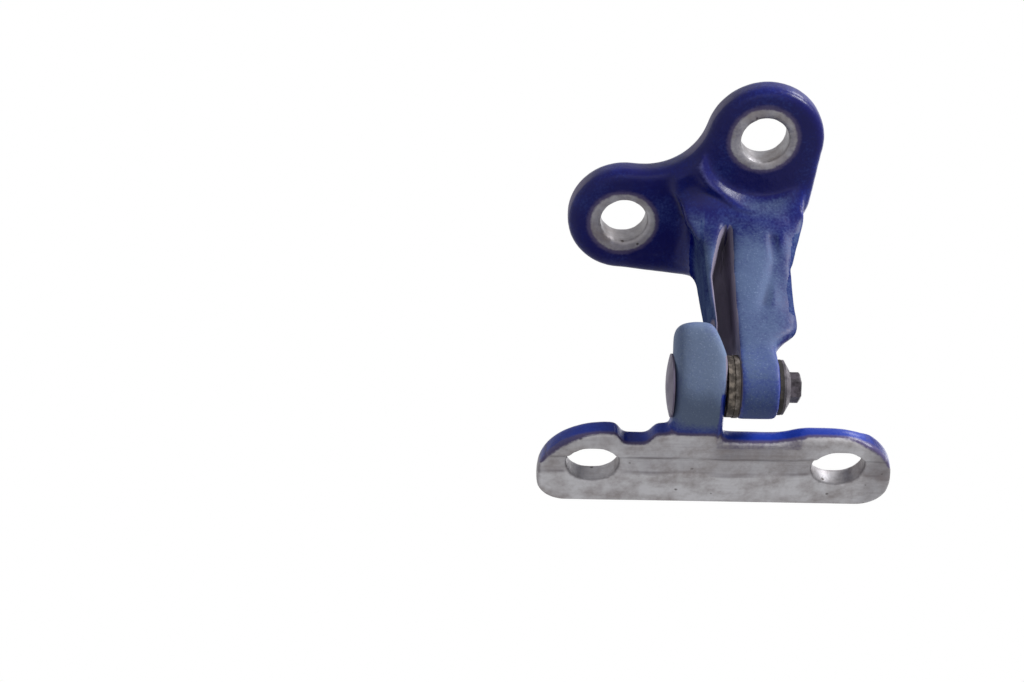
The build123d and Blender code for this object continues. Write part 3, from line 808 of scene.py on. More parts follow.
@dataclass
class PillarLeaf(Leaf):
    """The slotted plate that bolts to the pillar, with its neck, knuckle and stop lug (mm)."""

    slot_pitch: float = 75.0
    slot_length: float = 16.0
    plate_t: float = 6.8
    plate_high: float = 14.1
    plate_low: float = 17.3
    plate_half: float = 54.5
    high_corner_r: float = 20.0
    low_corner_r: float = 9.0
    groove_half: float = 4.0
    groove_depth: float = 0.8
    knuckle_top: float = 0.9
    relief_depth: float = 3.2
    relief_end_z: float = 24.0
    form: PlateForm = PlateForm()
    wear: PlateWear = PlateWear()

    def shape(self, points: np.ndarray) -> np.ndarray:
        """Give the relief's floor its draft and round the corner between it and the neck.

        Args:
            points: Skin points in mm.

        Returns:
            The moved points.
        """
        x, y, z = points.T
        form = self.form
        floor_x = self.plate_high - self.relief_depth
        on_floor = step(form.floor_under, x, floor_x) * step(form.floor_over, x, floor_x)
        on_floor = on_floor * step(form.floor_start, z, self.knuckle_top)
        on_floor = on_floor * step(form.floor_end, z, self.relief_end_z)
        x = x + form.relief_draft * on_floor * np.clip(1.0 + y / self.plate_t, 0.0, 1.0)
        at_corner = (y < form.fillet_front) & (y > -self.plate_t - form.fillet_back)
        x, z = into_fillet(x, z, (floor_x, self.knuckle_top), form.neck_fillet_r, at_corner)
        return np.column_stack([x, y, z])

    def from_slot(self, x: np.ndarray, z: np.ndarray) -> np.ndarray:
        """Distance from the nearer slot's wall, negative inside the slot.

        Args:
            x: Distances along X in mm.
            z: Distances along Z in mm.

        Returns:
            One distance per point.
        """
        from_middle = np.abs(np.abs(z) - self.slot_pitch / 2)
        beyond = np.maximum(from_middle - (self.slot_length / 2 - BOLT_HOLE_R), 0)
        return np.hypot(x, beyond) - BOLT_HOLE_R

    def inside_edge(self, reach: np.ndarray, z: np.ndarray, size: float, radius: float) -> np.ndarray:
        """Distance inward from one long edge of the plate and its two rounded corners.

        Args:
            reach: Distances towards that edge from the slots' line.
            z: Distances along the plate.
            size: How far the edge lies from the slots' line.
            radius: The radius of its corners.

        Returns:
            One distance per point.
        """
        past_side = np.maximum(reach - (size - radius), 0.0)
        past_end = np.maximum(np.abs(z) - (self.plate_half - radius), 0.0)
        return radius - np.hypot(past_side, past_end)

    def fields(self, points: np.ndarray, normals: np.ndarray) -> dict[Field, np.ndarray]:
        """Bare on the mating face, in the slots and under the bolts, dull on the knuckle.

        Args:
            points: Skin points in mm.
            normals: Their normals.

        Returns:
            One row of values for each field.
        """
        x, y, z = points.T
        wear = self.wear
        from_slot = self.from_slot(x, z)
        face = self._bare_face(points)
        rim = np.minimum(wear.rim_bare_x - x, y + self.plate_t - wear.rim_back)
        walls = HOLE_WALL_GAIN * (wear.wall_reach - from_slot)
        back_prints = np.minimum(FLANGE_PRINT_R - BOLT_HOLE_R - from_slot,
                                 -(self.plate_t - wear.back_skin) - y)
        up_neck = step(wear.neck_top, wear.neck_slant * (x - y))
        neck_edge = step(wear.neck_edge, z, self.knuckle_top) * up_neck * step(wear.neck_foot, x)
        gap_side = step((wear.gap_start_z, self.knuckle_top), z) * step(wear.gap_facing, normals[:, 2])
        gap_side = gap_side * step(wear.gap_up, x) * (1.0 - up_neck)
        machined = np.maximum(step(wear.machined_face, face), step(wear.machined_wall, walls))
        on_knuckle = step(wear.knuckle_rise, x, self.plate_high)
        return {
            Field.RELAX: 1.0 - wear.machined_hold * machined,
            Field.MELT: np.maximum(wear.knuckle_melt * on_knuckle, wear.neck_melt * neck_edge),
            Field.FILL: step(wear.fill_rise, x, self.plate_high) * step(wear.fill_back, y),
            Field.BARE: np.maximum.reduce([face, rim, walls, back_prints]),
            Field.TONE: self._steel_tone(points, from_slot, neck_edge),
            Field.HAZE: step(wear.haze_rise, x, self.plate_high) * (1.0 - neck_edge),
            Field.GRIME: gap_side,
            Field.DUSTY: gap_side,
        }

    def _bare_face(self, points: np.ndarray) -> np.ndarray:
        """How far inside the bare mating face each point lies.

        Args:
            points: Skin points in mm.

        Returns:
            One distance per point, negative where paint laps over.
        """
        x, y, z = points.T
        wear = self.wear
        above = self.inside_edge(x, z, self.plate_high, self.high_corner_r)
        strip = step(wear.face_strip, np.abs(x))
        upper = step(wear.rim_soft, x, wear.rim_bare_x)
        in_relief = step(wear.relief_start, z) * step(wear.relief_end, z, self.relief_end_z)
        lapped = wear.edge_lap * (1.0 - in_relief)
        at_ends = step(wear.plate_ends, np.abs(z), self.plate_half)
        band = wear.end_paint * at_ends - wear.side_bare
        painted = wear.edge_paint * in_relief + band * (1.0 - in_relief)
        level = y + wear.face_depth
        in_groove = (wear.strip_gain - 1.0) * level + wear.strip_gain * self.groove_depth
        depth = level + lapped + in_groove * strip
        return np.minimum(depth, above - upper * painted + (1.0 - upper) * wear.rim_margin)

    def _steel_tone(self, points: np.ndarray, from_slot: np.ndarray,
                    neck_edge: np.ndarray) -> np.ndarray:
        """How light each point is: light where worn, dark in the grooves and slots, with painted shade
        along the low rim.

        Args:
            points: Skin points in mm.
            from_slot: Distances from the slots' walls.
            neck_edge: The mask of the neck's lit edge.

        Returns:
            One tone per point.
        """
        x, _, z = points.T
        wear = self.wear
        below = step(wear.below_groove, x, -self.groove_half)
        worn = step(wear.worn_slot, from_slot) * step((0.0, self.groove_half), x)
        wander = sum(height * np.sin(z / length + start) for height, length, start in wear.groove_waves)
        off_groove = np.abs(np.abs(x + wander) - self.groove_half + wear.groove_inset)
        patchy = 1.0 - wear.groove_fade + wear.groove_fade * np.sin(z / wear.groove_patch)
        groove_line = step(wear.groove_dirt, off_groove) * step(wear.off_slot, from_slot) * patchy
        smudge = step(wear.smudge_start, z) * step(wear.smudge_end, z) * step(wear.smudge_up, x)
        tone = wear.tone_base + wear.tone_below * below + wear.tone_worn * worn
        tone = tone - wear.dirt_groove * groove_line - wear.dirt_smudge * smudge
        below_rim = self.inside_edge(-x, z, self.plate_low, self.low_corner_r)
        darkening = np.maximum.reduce([
            wear.dirt_end * step(wear.far_end, z, self.plate_half),
            step(wear.slot_wall, from_slot),
            # Painted shade along the low rim
            wear.low_rim_shade * step(wear.low_rim, below_rim),
        ])
        return np.maximum(tone - darkening, wear.tone_neck * neck_edge)


@dataclass(frozen=True)
class ArmForm:
    """Forms that forging gives the door leaf beyond its solid (mm)."""

    # The right flank's swell
    flank_grow: float = 1.3
    flank_blend: float = 0.9
    flank_slope: float = 0.35
    flank_end: Span = (57.0, 50.0)
    blend_past: float = 2.0
    blend_run: float = 6.0
    flank_in: Span = (-3.0, 0.0)
    flank_foot: Span = (3.0, 9.0)
    flank_under: Span = (-16.0, -9.0)

    # The flare's back corner, which follows the ear plate's leaning edge
    plate_lean: float = 0.381
    ear_edge_r: float = 2.6
    edge_round: Span = (-2.0, 0.5)
    corner_back: Span = (-2.0, -6.0)

    # The web's leaning valley
    valley_z: float = 19.8
    valley_lean: float = 0.26
    valley_before: float = 4.0
    valley_half: float = 2.8
    valley_depth: float = 1.3
    valley_start: Span = (6.0, 16.0)
    valley_end: Span = (52.0, 42.0)
    valley_reach: float = 3.0

    # The rounded left rib
    rib_r: float = 3.4
    rib_swell: float = 1.5
    rib_rise: Span = (6.0, 14.0)
    rib_end: Span = (48.0, 38.0)
    rib_wall: Span = (1.6, 0.2)
    rib_under: float = 8.0
    rib_reach: float = 0.5
    rib_round: Span = (4.0, 10.0)
    rib_skin: float = 0.6

    # The raised ridge and the sloped wall beside the high pad
    ridge_aim: tuple[float, float] = (0.85, 0.53)
    ridge_off: float = 2.4
    ridge_half: float = 3.2
    ridge_rise: float = 1.7
    ridge_facing: Span = (0.7, 0.95)
    ridge_foot: Span = (0.4, 1.2)
    ridge_top: Span = (9.0, 6.0)
    wall_foot: float = 0.4
    wall_slope: float = 1.66
    wall_top: float = 9.0

    # The fillet at the arm's root
    root_fillet_r: float = 8.0
    root_end: float = -4.0


@dataclass(frozen=True)
class ArmWear:
    """Where the door leaf is bare, chalky, dirty and soft (mm, and shares of full strength)."""

    # Bare steel in the holes, on the bolts' prints and on the door side
    print_shifts: tuple[tuple[float, float], ...] = ((-0.4, -0.5), (0.5, -0.5))
    print_depth: float = 0.8
    wall_reach: float = 0.5
    back_skin: float = 0.5
    bore_reach: float = 0.3

    # Chalky haze on the web, the sides and the knuckle, and a chalky painted highlight on the saddle
    off_pad: Span = (-1.0, 2.0)
    web_haze: float = 0.9
    web_face: Span = (-2.4, -1.2)
    web_rim: Span = (-2.0, 5.0)
    rim_clean: float = 0.4
    chalk_rise: Span = (-2.0, 24.0)
    chalk_fall: Span = (30.0, 50.0)
    chalk_loss: float = 0.2
    knuckle_haze: float = 0.62
    round_knuckle: Span = (6.0, 0.0)
    side_haze: float = 0.6
    left_face: Span = (1.2, 0.6)
    left_foot: Span = (2.0, 8.0)
    right_face: Span = (3.0, 0.5)
    right_foot: Span = (2.0, 5.0)
    # Where the chalky painted highlight lies on the saddle below the high pad
    saddle_highlight_out: Span = (10.0, 2.0)
    saddle_highlight_left: Span = (6.0, 15.0)
    saddle_highlight_right: Span = (30.0, 21.0)
    saddle_highlight_front: Span = (0.0, 1.0)

    # How bright the blue is
    tone_base: float = 0.1
    tone_saddle: float = 0.15
    tone_knuckle: float = 0.5
    tone_print: float = 0.5
    bright_pad: Span = (-2.0, 4.0)
    bright_out: Span = (14.0, 4.0)
    print_edge: Span = (1.0, 0.0)

    # Grime in the pocket, in the gap, on the left wall and round the ears
    pocket_left: Span = (-0.6, 0.0)
    pocket_right: Span = (0.4, 0.0)
    pocket_sunk: Span = (-0.2, -1.0)
    pocket_facing: Span = (0.5, 0.8)
    pocket_floor: Span = (-1.5, -0.5)
    pocket_off_pin: Span = (0.5, 2.0)
    pocket_out: Span = (4.0, 12.0)
    gap_facing: Span = (-0.5, -0.9)
    gap_off_pin: Span = (24.0, 20.0)
    wall_grime: float = 0.2
    wall_face: Span = (0.9, 0.2)
    wall_sunk: Span = (-3.0, -5.0)
    wall_foot: Span = (3.0, 9.0)
    edge_grime: float = 0.55
    edge_facing: Span = (0.35, 0.8)
    edge_back: Span = (-0.8, -2.4)
    dusty_right: Span = (22.0, 23.0)
    dusty_foot: Span = (2.0, 3.5)
    dusty_sunk: Span = (-0.8, -1.6)

    # How far forging softened each place
    machined_hold: float = 0.6
    machined_wall: Span = (-1.5, -0.5)
    machined_back: Span = (-1.0, 0.0)
    clear_pad: Span = (0.5, 4.5)
    clear_back: Span = (-9.0, -7.0)
    clear_pin: Span = (1.0, 5.0)
    pocket_deep: Span = (14.0, 28.0)
    arm_start: Span = (4.0, 9.0)
    arm_melt: float = 0.3
    valley_lip: Span = (0.8, 0.0)
    valley_face: Span = (-3.4, -2.2)
    valley_start: Span = (6.0, 12.0)
    valley_end: Span = (50.0, 44.0)
    right_rib_melt: float = 0.8
    right_rib: Span = (6.0, 3.0)
    right_rib_foot: Span = (2.0, 4.0)
    hump_melt: float = 0.6
    hump_rise: Span = (0.0, 3.0)
    hump_out: Span = (40.0, 46.0)
    left_rib_melt: float = 0.5
    left_rib: Span = (0.4, 0.0)
    left_rib_face: Span = (-7.0, -5.0)


@dataclass(frozen=True)
class ArmPlace:
    """Where the door leaf's skin points lie, in the measures that its wear follows (mm)."""

    z: np.ndarray
    facing: np.ndarray
    across: np.ndarray
    out: np.ndarray
    height: np.ndarray
    from_axis: np.ndarray
    from_print: np.ndarray
    from_pin: np.ndarray
    from_right: np.ndarray


@dataclass
class DoorLeaf(Leaf):
    """The arm with a knuckle at one end and two bolt ears at the other (mm)."""

    ear_turn_deg: float = 12.5
    ear_t: float = 9.0
    web_x: float = 35.6
    arm_end_y: float = -79.8
    knuckle_r: float = 9.6
    bore_r: float = 6.5
    arm_left_z: float = -2.4
    rim_z: float = 16.5
    holes: tuple[tuple[float, float], ...] = ((-6.0, -26.9), (23.8, 16.2))
    pad_r: float = 19.5
    pocket_z: tuple[float, float] = (-0.7, 6.6)
    pocket_depth: float = 12.0
    right_z: float = 22.6
    flare_z: float = 33.0
    flare_run: float = 26.0
    form: ArmForm = ArmForm()
    wear: ArmWear = ArmWear()

    def on_ears(self, x: np.ndarray, y: np.ndarray) -> tuple[np.ndarray, np.ndarray]:
        """Distance along the ear plate and height off its front, for points in the part's frame.

        Args:
            x: Distances along X in mm.
            y: Distances along Y in mm.

        Returns:
            Distances along the plate, then heights.
        """
        turn = math.radians(self.ear_turn_deg)
        across, out = x - self.web_x, y - self.arm_end_y
        along = across * math.cos(turn) - out * math.sin(turn)
        return along, across * math.sin(turn) + out * math.cos(turn)

    def off_ears(self, along: np.ndarray, height: np.ndarray) -> tuple[np.ndarray, np.ndarray]:
        """Points in the part's frame, from their places on the ear plate.

        Args:
            along: Distances along the plate in mm.
            height: Heights off its front in mm.

        Returns:
            Distances along X, then along Y.
        """
        turn = math.radians(self.ear_turn_deg)
        x = self.web_x + height * math.sin(turn) + along * math.cos(turn)
        y = self.arm_end_y + height * math.cos(turn) - along * math.sin(turn)
        return x, y

    def valley_line(self, out: np.ndarray) -> np.ndarray:
        """Height of the web's valley at each distance from the ear plate; it leans to the knuckle."""
        past_flare = np.maximum(out - self.flare_run + self.form.valley_before, 0.0)
        return self.form.valley_z - self.form.valley_lean * past_flare

    def right_edge(self, out: np.ndarray) -> np.ndarray:
        """Height of the web's right edge, swell included.

        Args:
            out: Distances from the ear plate in mm.

        Returns:
            One height per point.
        """
        form = self.form
        flare = np.clip(1.0 - out / self.flare_run, 0.0, 1.0)
        past_blend = (out - self.flare_run - form.blend_past) / form.blend_run
        grown = form.flank_grow * step(form.flank_end, out) + form.flank_blend * np.exp(-past_blend ** 2)
        return self.right_z + (self.flare_z - self.right_z) * flare + grown

    def shape(self, points: np.ndarray) -> np.ndarray:
        """Swell the arm's right flank, carve the web's valley and round its left rib and its root.

        Args:
            points: Skin points in mm.

        Returns:
            The moved points.
        """
        x, y, z = points.T
        out = y - self.arm_end_y
        along, height = self.on_ears(x, y)
        z = self._swell_flank(x, z, out, height)
        z = self._trim_corner(z, along, height)
        x = self._carve_valley(x, z, out)
        x, z = self._round_left_rib(x, z, out, height)
        along, height = self.on_ears(x, y)
        height = self._raise_ridge(along, height, z)
        at_root = along < self.form.root_end
        left, height = into_fillet(-z, height, (-self.arm_left_z, 0.0), self.form.root_fillet_r, at_root)
        x, y = self.off_ears(along, height)
        return np.column_stack([x, y, -left])

    def _swell_flank(self, x: np.ndarray, z: np.ndarray, out: np.ndarray,
                     height: np.ndarray) -> np.ndarray:
        """Push the arm's right flank out to its swollen edge.

        Args:
            x: Distances along X in mm.
            z: Distances along Z in mm.
            out: Distances from the ear plate.
            height: Heights off the ears' front.

        Returns:
            The new distances along Z.
        """
        form = self.form
        edge = self.right_edge(out)
        grown = form.flank_grow + form.flank_blend
        on_flank = step(form.flank_in, z, edge - grown) * step(form.flank_foot, height)
        on_flank = on_flank * step(form.flank_under, x, self.web_x)
        return np.minimum(z + grown * on_flank, np.maximum(edge, z))

    def _trim_corner(self, z: np.ndarray, along: np.ndarray, height: np.ndarray) -> np.ndarray:
        """Keep the flare's back corner within the ear plate's leaning edge.

        Args:
            z: Distances along Z in mm.
            along: Distances along the ear plate.
            height: Heights off the ears' front.

        Returns:
            The new distances along Z.
        """
        form = self.form
        plate_edge = self.flare_z + form.plate_lean * along
        plate_edge = plate_edge - form.ear_edge_r * step(form.edge_round, height)
        past = np.maximum(z - np.maximum(plate_edge, self.right_z), 0.0)
        return z - past * step(form.corner_back, along)

    def _carve_valley(self, x: np.ndarray, z: np.ndarray, out: np.ndarray) -> np.ndarray:
        """Sink the web's leaning valley and slope the flank beyond it.

        Args:
            x: Distances along X in mm.
            z: Distances along Z in mm.
            out: Distances from the ear plate.

        Returns:
            The new distances along X.
        """
        form = self.form
        on_web = step(form.valley_start, out) * step(form.valley_end, out)
        off_valley = z - self.valley_line(out)
        valley = bell(off_valley / form.valley_half)
        flank = np.maximum(off_valley - form.valley_half, 0.0)
        top = self.web_x - on_web * (form.valley_depth * valley + form.flank_slope * flank)
        near_top = (on_web > 0.0) & (x > self.web_x - form.valley_reach)
        return np.where(near_top, np.minimum(x, top), x)

    def _round_left_rib(self, x: np.ndarray, z: np.ndarray, out: np.ndarray,
                        height: np.ndarray) -> tuple[np.ndarray, np.ndarray]:
        """Swell the rib on the web's left and round its top.

        Args:
            x: Distances along X in mm.
            z: Distances along Z in mm.
            out: Distances from the ear plate.
            height: Heights off the ears' front.

        Returns:
            The new distances along X, then along Z.
        """
        form = self.form
        swell = form.rib_swell * step(form.rib_rise, height) * step(form.rib_end, out)
        on_wall = step(form.rib_wall, z, self.arm_left_z)
        z = z - swell * on_wall * step((-form.rib_under, -form.rib_r), x, self.web_x)
        into_rib = np.maximum(self.arm_left_z - swell + form.rib_r - z, 0.0)
        rib_top = self.web_x - form.rib_r + np.sqrt(np.maximum(form.rib_r ** 2 - into_rib ** 2, 0.0))
        over = np.maximum(x - rib_top, 0.0) * (x > self.web_x - form.rib_r - form.rib_reach)
        on_skin = z > self.arm_left_z - swell - form.rib_skin
        return x - over * step(form.rib_round, height) * on_skin, z

    def _raise_ridge(self, along: np.ndarray, height: np.ndarray, z: np.ndarray) -> np.ndarray:
        """Raise the ridge below the high pad and slope the wall that rises from it.

        Args:
            along: Distances along the ear plate in mm.
            height: Heights off the ears' front.
            z: Distances along Z in mm.

        Returns:
            The new heights.
        """
        form = self.form
        high_along, high_z = self.holes[1]
        down, aside = high_along - along, high_z - z
        from_high = np.maximum(np.hypot(down, aside), 1.0)
        facing = (down * form.ridge_aim[0] + aside * form.ridge_aim[1]) / from_high
        ridge = bell((from_high - self.pad_r - form.ridge_off) / form.ridge_half)
        on_foot = step(form.ridge_foot, height) * step(form.ridge_top, height)
        height = height + form.ridge_rise * ridge * step(form.ridge_facing, facing) * on_foot
        wall = np.maximum((from_high - self.pad_r + form.wall_foot) * form.wall_slope, form.wall_foot)
        at_wall = (height > form.wall_foot) & (height < form.wall_top)
        return np.where(at_wall, np.minimum(height, wall), height)

    def place(self, points: np.ndarray, normals: np.ndarray) -> ArmPlace:
        """Measure where the skin's points lie on the arm and the ears.

        Args:
            points: Skin points in mm.
            normals: Their normals.

        Returns:
            The measures, one row of values each.
        """
        x, y, z = points.T
        out = y - self.arm_end_y
        along, height = self.on_ears(x, y)
        from_axis = np.min([np.hypot(along - q, z - level) for q, level in self.holes], axis=0)
        from_print = np.min([
            np.hypot(along - q - shift_q, z - level - shift_z)
            for (q, level), (shift_q, shift_z) in zip(self.holes, self.wear.print_shifts)
        ], axis=0)
        return ArmPlace(
            z=z,
            facing=normals[:, 2],
            across=x - self.web_x,
            out=out,
            height=height,
            from_axis=from_axis,
            from_print=from_print,
            from_pin=np.hypot(x - PIN_X, y - PIN_Y),
            from_right=self.right_edge(out) - z,
        )

    def fields(self, points: np.ndarray, normals: np.ndarray) -> dict[Field, np.ndarray]:
        """Bare rings and walls at the holes and on the door side, dull on the web, dirty in the pocket.

        Args:
            points: Skin points in mm.
            normals: Their normals.

        Returns:
            One row of values for each field.
        """
        wear = self.wear
        at = self.place(points, normals)
        ring = np.minimum(FLANGE_PRINT_R - at.from_print, at.height + wear.print_depth)
        walls = HOLE_WALL_GAIN * (BOLT_HOLE_R + wear.wall_reach - at.from_axis)
        door_side = -(self.ear_t - wear.back_skin) - at.height
        in_bore = self.bore_r + wear.bore_reach - at.from_pin
        machined = np.maximum.reduce([
            step(wear.machined_wall, walls),
            step(wear.machined_back, door_side),
            step(wear.machined_back, self.bore_r - at.from_pin),
        ])
        in_pocket = self._in_pocket(at)
        melt, fill = self._softness(at, in_pocket)
        knuckle = step(wear.round_knuckle, at.from_pin, self.knuckle_r)
        return {
            Field.RELAX: 1.0 - wear.machined_hold * machined,
            Field.MELT: melt,
            Field.FILL: fill,
            Field.BARE: np.maximum.reduce([ring, walls, door_side, in_bore]),
            Field.TONE: self._blue_tone(at, knuckle),
            Field.HAZE: self._haze(at, knuckle),
            Field.GRIME: self._grime(at, in_pocket),
            Field.DUSTY: self._dusty(at, in_pocket),
        }

    def _in_pocket(self, at: ArmPlace) -> np.ndarray:
        """The mask of the dirty pocket between the web and the left rib.

        Args:
            at: Where the points lie.

        Returns:
            One share per point.
        """
        wear = self.wear
        left, right = self.pocket_z
        between = step(wear.pocket_left, at.z, left) * step(wear.pocket_right, at.z, right)
        sunk = np.maximum(step(wear.pocket_sunk, at.across), step(wear.pocket_facing, np.abs(at.facing)))
        inside = between * sunk * step(wear.pocket_floor, at.across, -self.pocket_depth)
        inside = inside * step(wear.pocket_off_pin, at.from_pin, self.knuckle_r)
        return inside * step(wear.pocket_out, at.out)

    def _haze(self, at: ArmPlace, knuckle: np.ndarray) -> np.ndarray:
        """Chalky haze on the web, both sides and the knuckle, and a chalky painted highlight on the
        saddle below the high pad.

        Args:
            at: Where the points lie.
            knuckle: The mask of the knuckle.

        Returns:
            One share per point.
        """
        wear = self.wear
        off_pad = step(wear.off_pad, at.from_axis, self.pad_r)
        clean_rim = 1.0 - wear.rim_clean * step(wear.web_rim, at.z, self.rim_z)
        up_web = step(wear.web_face, at.across) * clean_rim * off_pad
        chalky = step(wear.chalk_rise, at.out) * (1.0 - wear.chalk_loss * step(wear.chalk_fall, at.out))
        left_side = step(wear.left_face, at.z, self.arm_left_z) * step(wear.left_foot, at.height)
        right_side = step(wear.right_face, at.from_right) * step(wear.right_foot, at.height)
        # Painted highlight: a pale chalky patch on the saddle below the high pad
        saddle = off_pad * step(wear.saddle_highlight_out, at.out) * step(wear.saddle_highlight_left, at.z)
        saddle = saddle * step(wear.saddle_highlight_right, at.z) * step(wear.saddle_highlight_front, at.height)
        return np.maximum.reduce([
            wear.knuckle_haze * knuckle,
            wear.web_haze * up_web * chalky,
            wear.side_haze * left_side,
            wear.side_haze * right_side,
            # The saddle's painted highlight
            wear.side_haze * saddle,
        ])

    def _blue_tone(self, at: ArmPlace, knuckle: np.ndarray) -> np.ndarray:
        """How bright the blue is: brighter on the saddle, the knuckle and the bolts' prints.

        Args:
            at: Where the points lie.
            knuckle: The mask of the knuckle.

        Returns:
            One tone per point.
        """
        wear = self.wear
        saddle = step(wear.bright_pad, at.from_axis, self.pad_r) * step(wear.bright_out, at.out)
        printed = step(wear.print_edge, at.from_print, FLANGE_PRINT_R)
        blue = wear.tone_base + wear.tone_saddle * saddle + wear.tone_knuckle * knuckle
        return np.maximum(blue, wear.tone_print * printed)

    def _grime(self, at: ArmPlace, in_pocket: np.ndarray) -> np.ndarray:
        """Grime in the pocket, on the side in the gap, on the left wall and round the ears.

        Args:
            at: Where the points lie.
            in_pocket: The mask of the pocket.

        Returns:
            One share per point.
        """
        wear = self.wear
        gap_side = step(wear.gap_facing, at.facing) * step(wear.gap_off_pin, at.from_pin)
        left_wall = step(wear.wall_face, at.z, self.arm_left_z) * step(wear.wall_sunk, at.across)
        left_wall = wear.wall_grime * left_wall * step(wear.wall_foot, at.height)
        ear_edge = wear.edge_grime * step(wear.edge_facing, -at.facing) * step(wear.edge_back, at.height)
        return np.maximum.reduce([in_pocket, gap_side, left_wall, ear_edge])

    def _dusty(self, at: ArmPlace, in_pocket: np.ndarray) -> np.ndarray:
        """Where dust takes all sheen: in the pocket and on the arm's two sides.

        Args:
            at: Where the points lie.
            in_pocket: The mask of the pocket.

        Returns:
            One share per point.
        """
        wear = self.wear
        side = np.maximum(step(wear.left_face, at.z, self.arm_left_z), step(wear.dusty_right, at.z))
        side = side * step(wear.dusty_foot, at.height) * step(wear.dusty_sunk, at.across)
        return np.maximum(in_pocket, side)

    def _softness(self, at: ArmPlace, in_pocket: np.ndarray) -> tuple[np.ndarray, np.ndarray]:
        """How far the arm's edges melt and its hollow corners fill.

        Args:
            at: Where the points lie.
            in_pocket: The mask of the pocket.

        Returns:
            Shares of melting, then of filling.
        """
        wear = self.wear
        clear_of_pads = step(wear.clear_pad, at.from_axis, self.pad_r) * step(wear.clear_back, at.height)
        clear_of_pin = step(wear.clear_pin, at.from_pin, self.knuckle_r)
        free = clear_of_pads * clear_of_pin * (1.0 - in_pocket * step(wear.pocket_deep, at.out))
        off_valley = np.abs(at.z - self.valley_line(at.out))
        in_valley = step(wear.valley_lip, off_valley, self.form.valley_half)
        in_valley = in_valley * step(wear.valley_face, at.across)
        in_valley = in_valley * step(wear.valley_start, at.out) * step(wear.valley_end, at.out)
        right_rib = step(wear.right_rib, at.from_right) * step(wear.right_rib_foot, at.height)
        hump = step(wear.hump_rise, at.z, self.rim_z) * step(wear.hump_out, at.out)
        left_rib = step(wear.left_rib, at.z, self.pocket_z[0]) * step(wear.left_rib_face, at.across)
        melt = np.maximum.reduce([
            wear.arm_melt * (1.0 - in_valley),
            wear.left_rib_melt * left_rib,
            wear.hump_melt * hump,
            wear.right_rib_melt * right_rib,
        ])
        return free * step(wear.arm_start, at.out) * melt, free * (1.0 - in_valley)


@dataclass
class PinStack:
    """The pin, its washers and bushes, and the bolt that keeps them together."""

    def build(self) -> list[bpy.types.Object]:
        """Dress the turned CAD pieces, whose shapes are right as they are.

        Returns:
            The dressed pieces.
        """
        finishes = {
            "hinge_pin": WornMetal("painted_over_pin_steel", metal="#5a5169", film="#4a4258",
                                   film_mm=6.0, metallic=0.0, rough_clean=0.5),
            "thrust_washer": WornMetal("greasy_washer_steel", metal="#7a7066", film="#241c16",
                                       film_from=0.32, film_to=0.56, film_mm=3.0, metallic=0.3),
            "lower_bush": WornMetal("dirty_sintered_bronze", metal="#746c66", film="#2c241d",
                                    film_from=0.32, film_to=0.58, film_mm=3.0, metallic=0.3),
            "upper_bush": WornMetal("oily_sintered_bronze", metal="#3a3430", film="#14110f",
                                    film_from=0.3, film_to=0.6, metallic=0.4),
            "retaining_washer": WornMetal("phosphated_washer_steel", metal="#5c575e", film="#37333a",
                                          metallic=0.3, rough_clean=0.6),
            "retaining_bolt": WornMetal("phosphated_bolt_steel", metal="#4a444c", film="#231f24",
                                        metallic=0.6),
        }
        pieces = []
        for node, finish in finishes.items():
            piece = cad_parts[node]
            piece.material_slots[0].material = finish.build()
            pieces.append(piece)
        return pieces


@dataclass(frozen=True)
class Lamp:
    """One soft box, placed by direction from the object's middle."""

    name: str
    towards: tuple[float, float, float]
    distance: float
    size: float
    power: float

    def build(self, middle: Vector) -> bpy.types.Object:
        """Make the soft box and turn it to the object.

        Args:
            middle: The point that it lights.

        Returns:
            The lamp's object.
        """
        light = bpy.data.lights.new(self.name, "AREA")
        light.shape = "DISK"
        light.size = self.size
        light.energy = self.power
        lamp = bpy.data.objects.new(self.name, light)
        aim = Vector(self.towards).normalized()
        lamp.location = middle + aim * self.distance
        lamp.rotation_euler = aim.to_track_quat("Z", "Y").to_euler()
        bpy.context.scene.collection.objects.link(lamp)
        return lamp


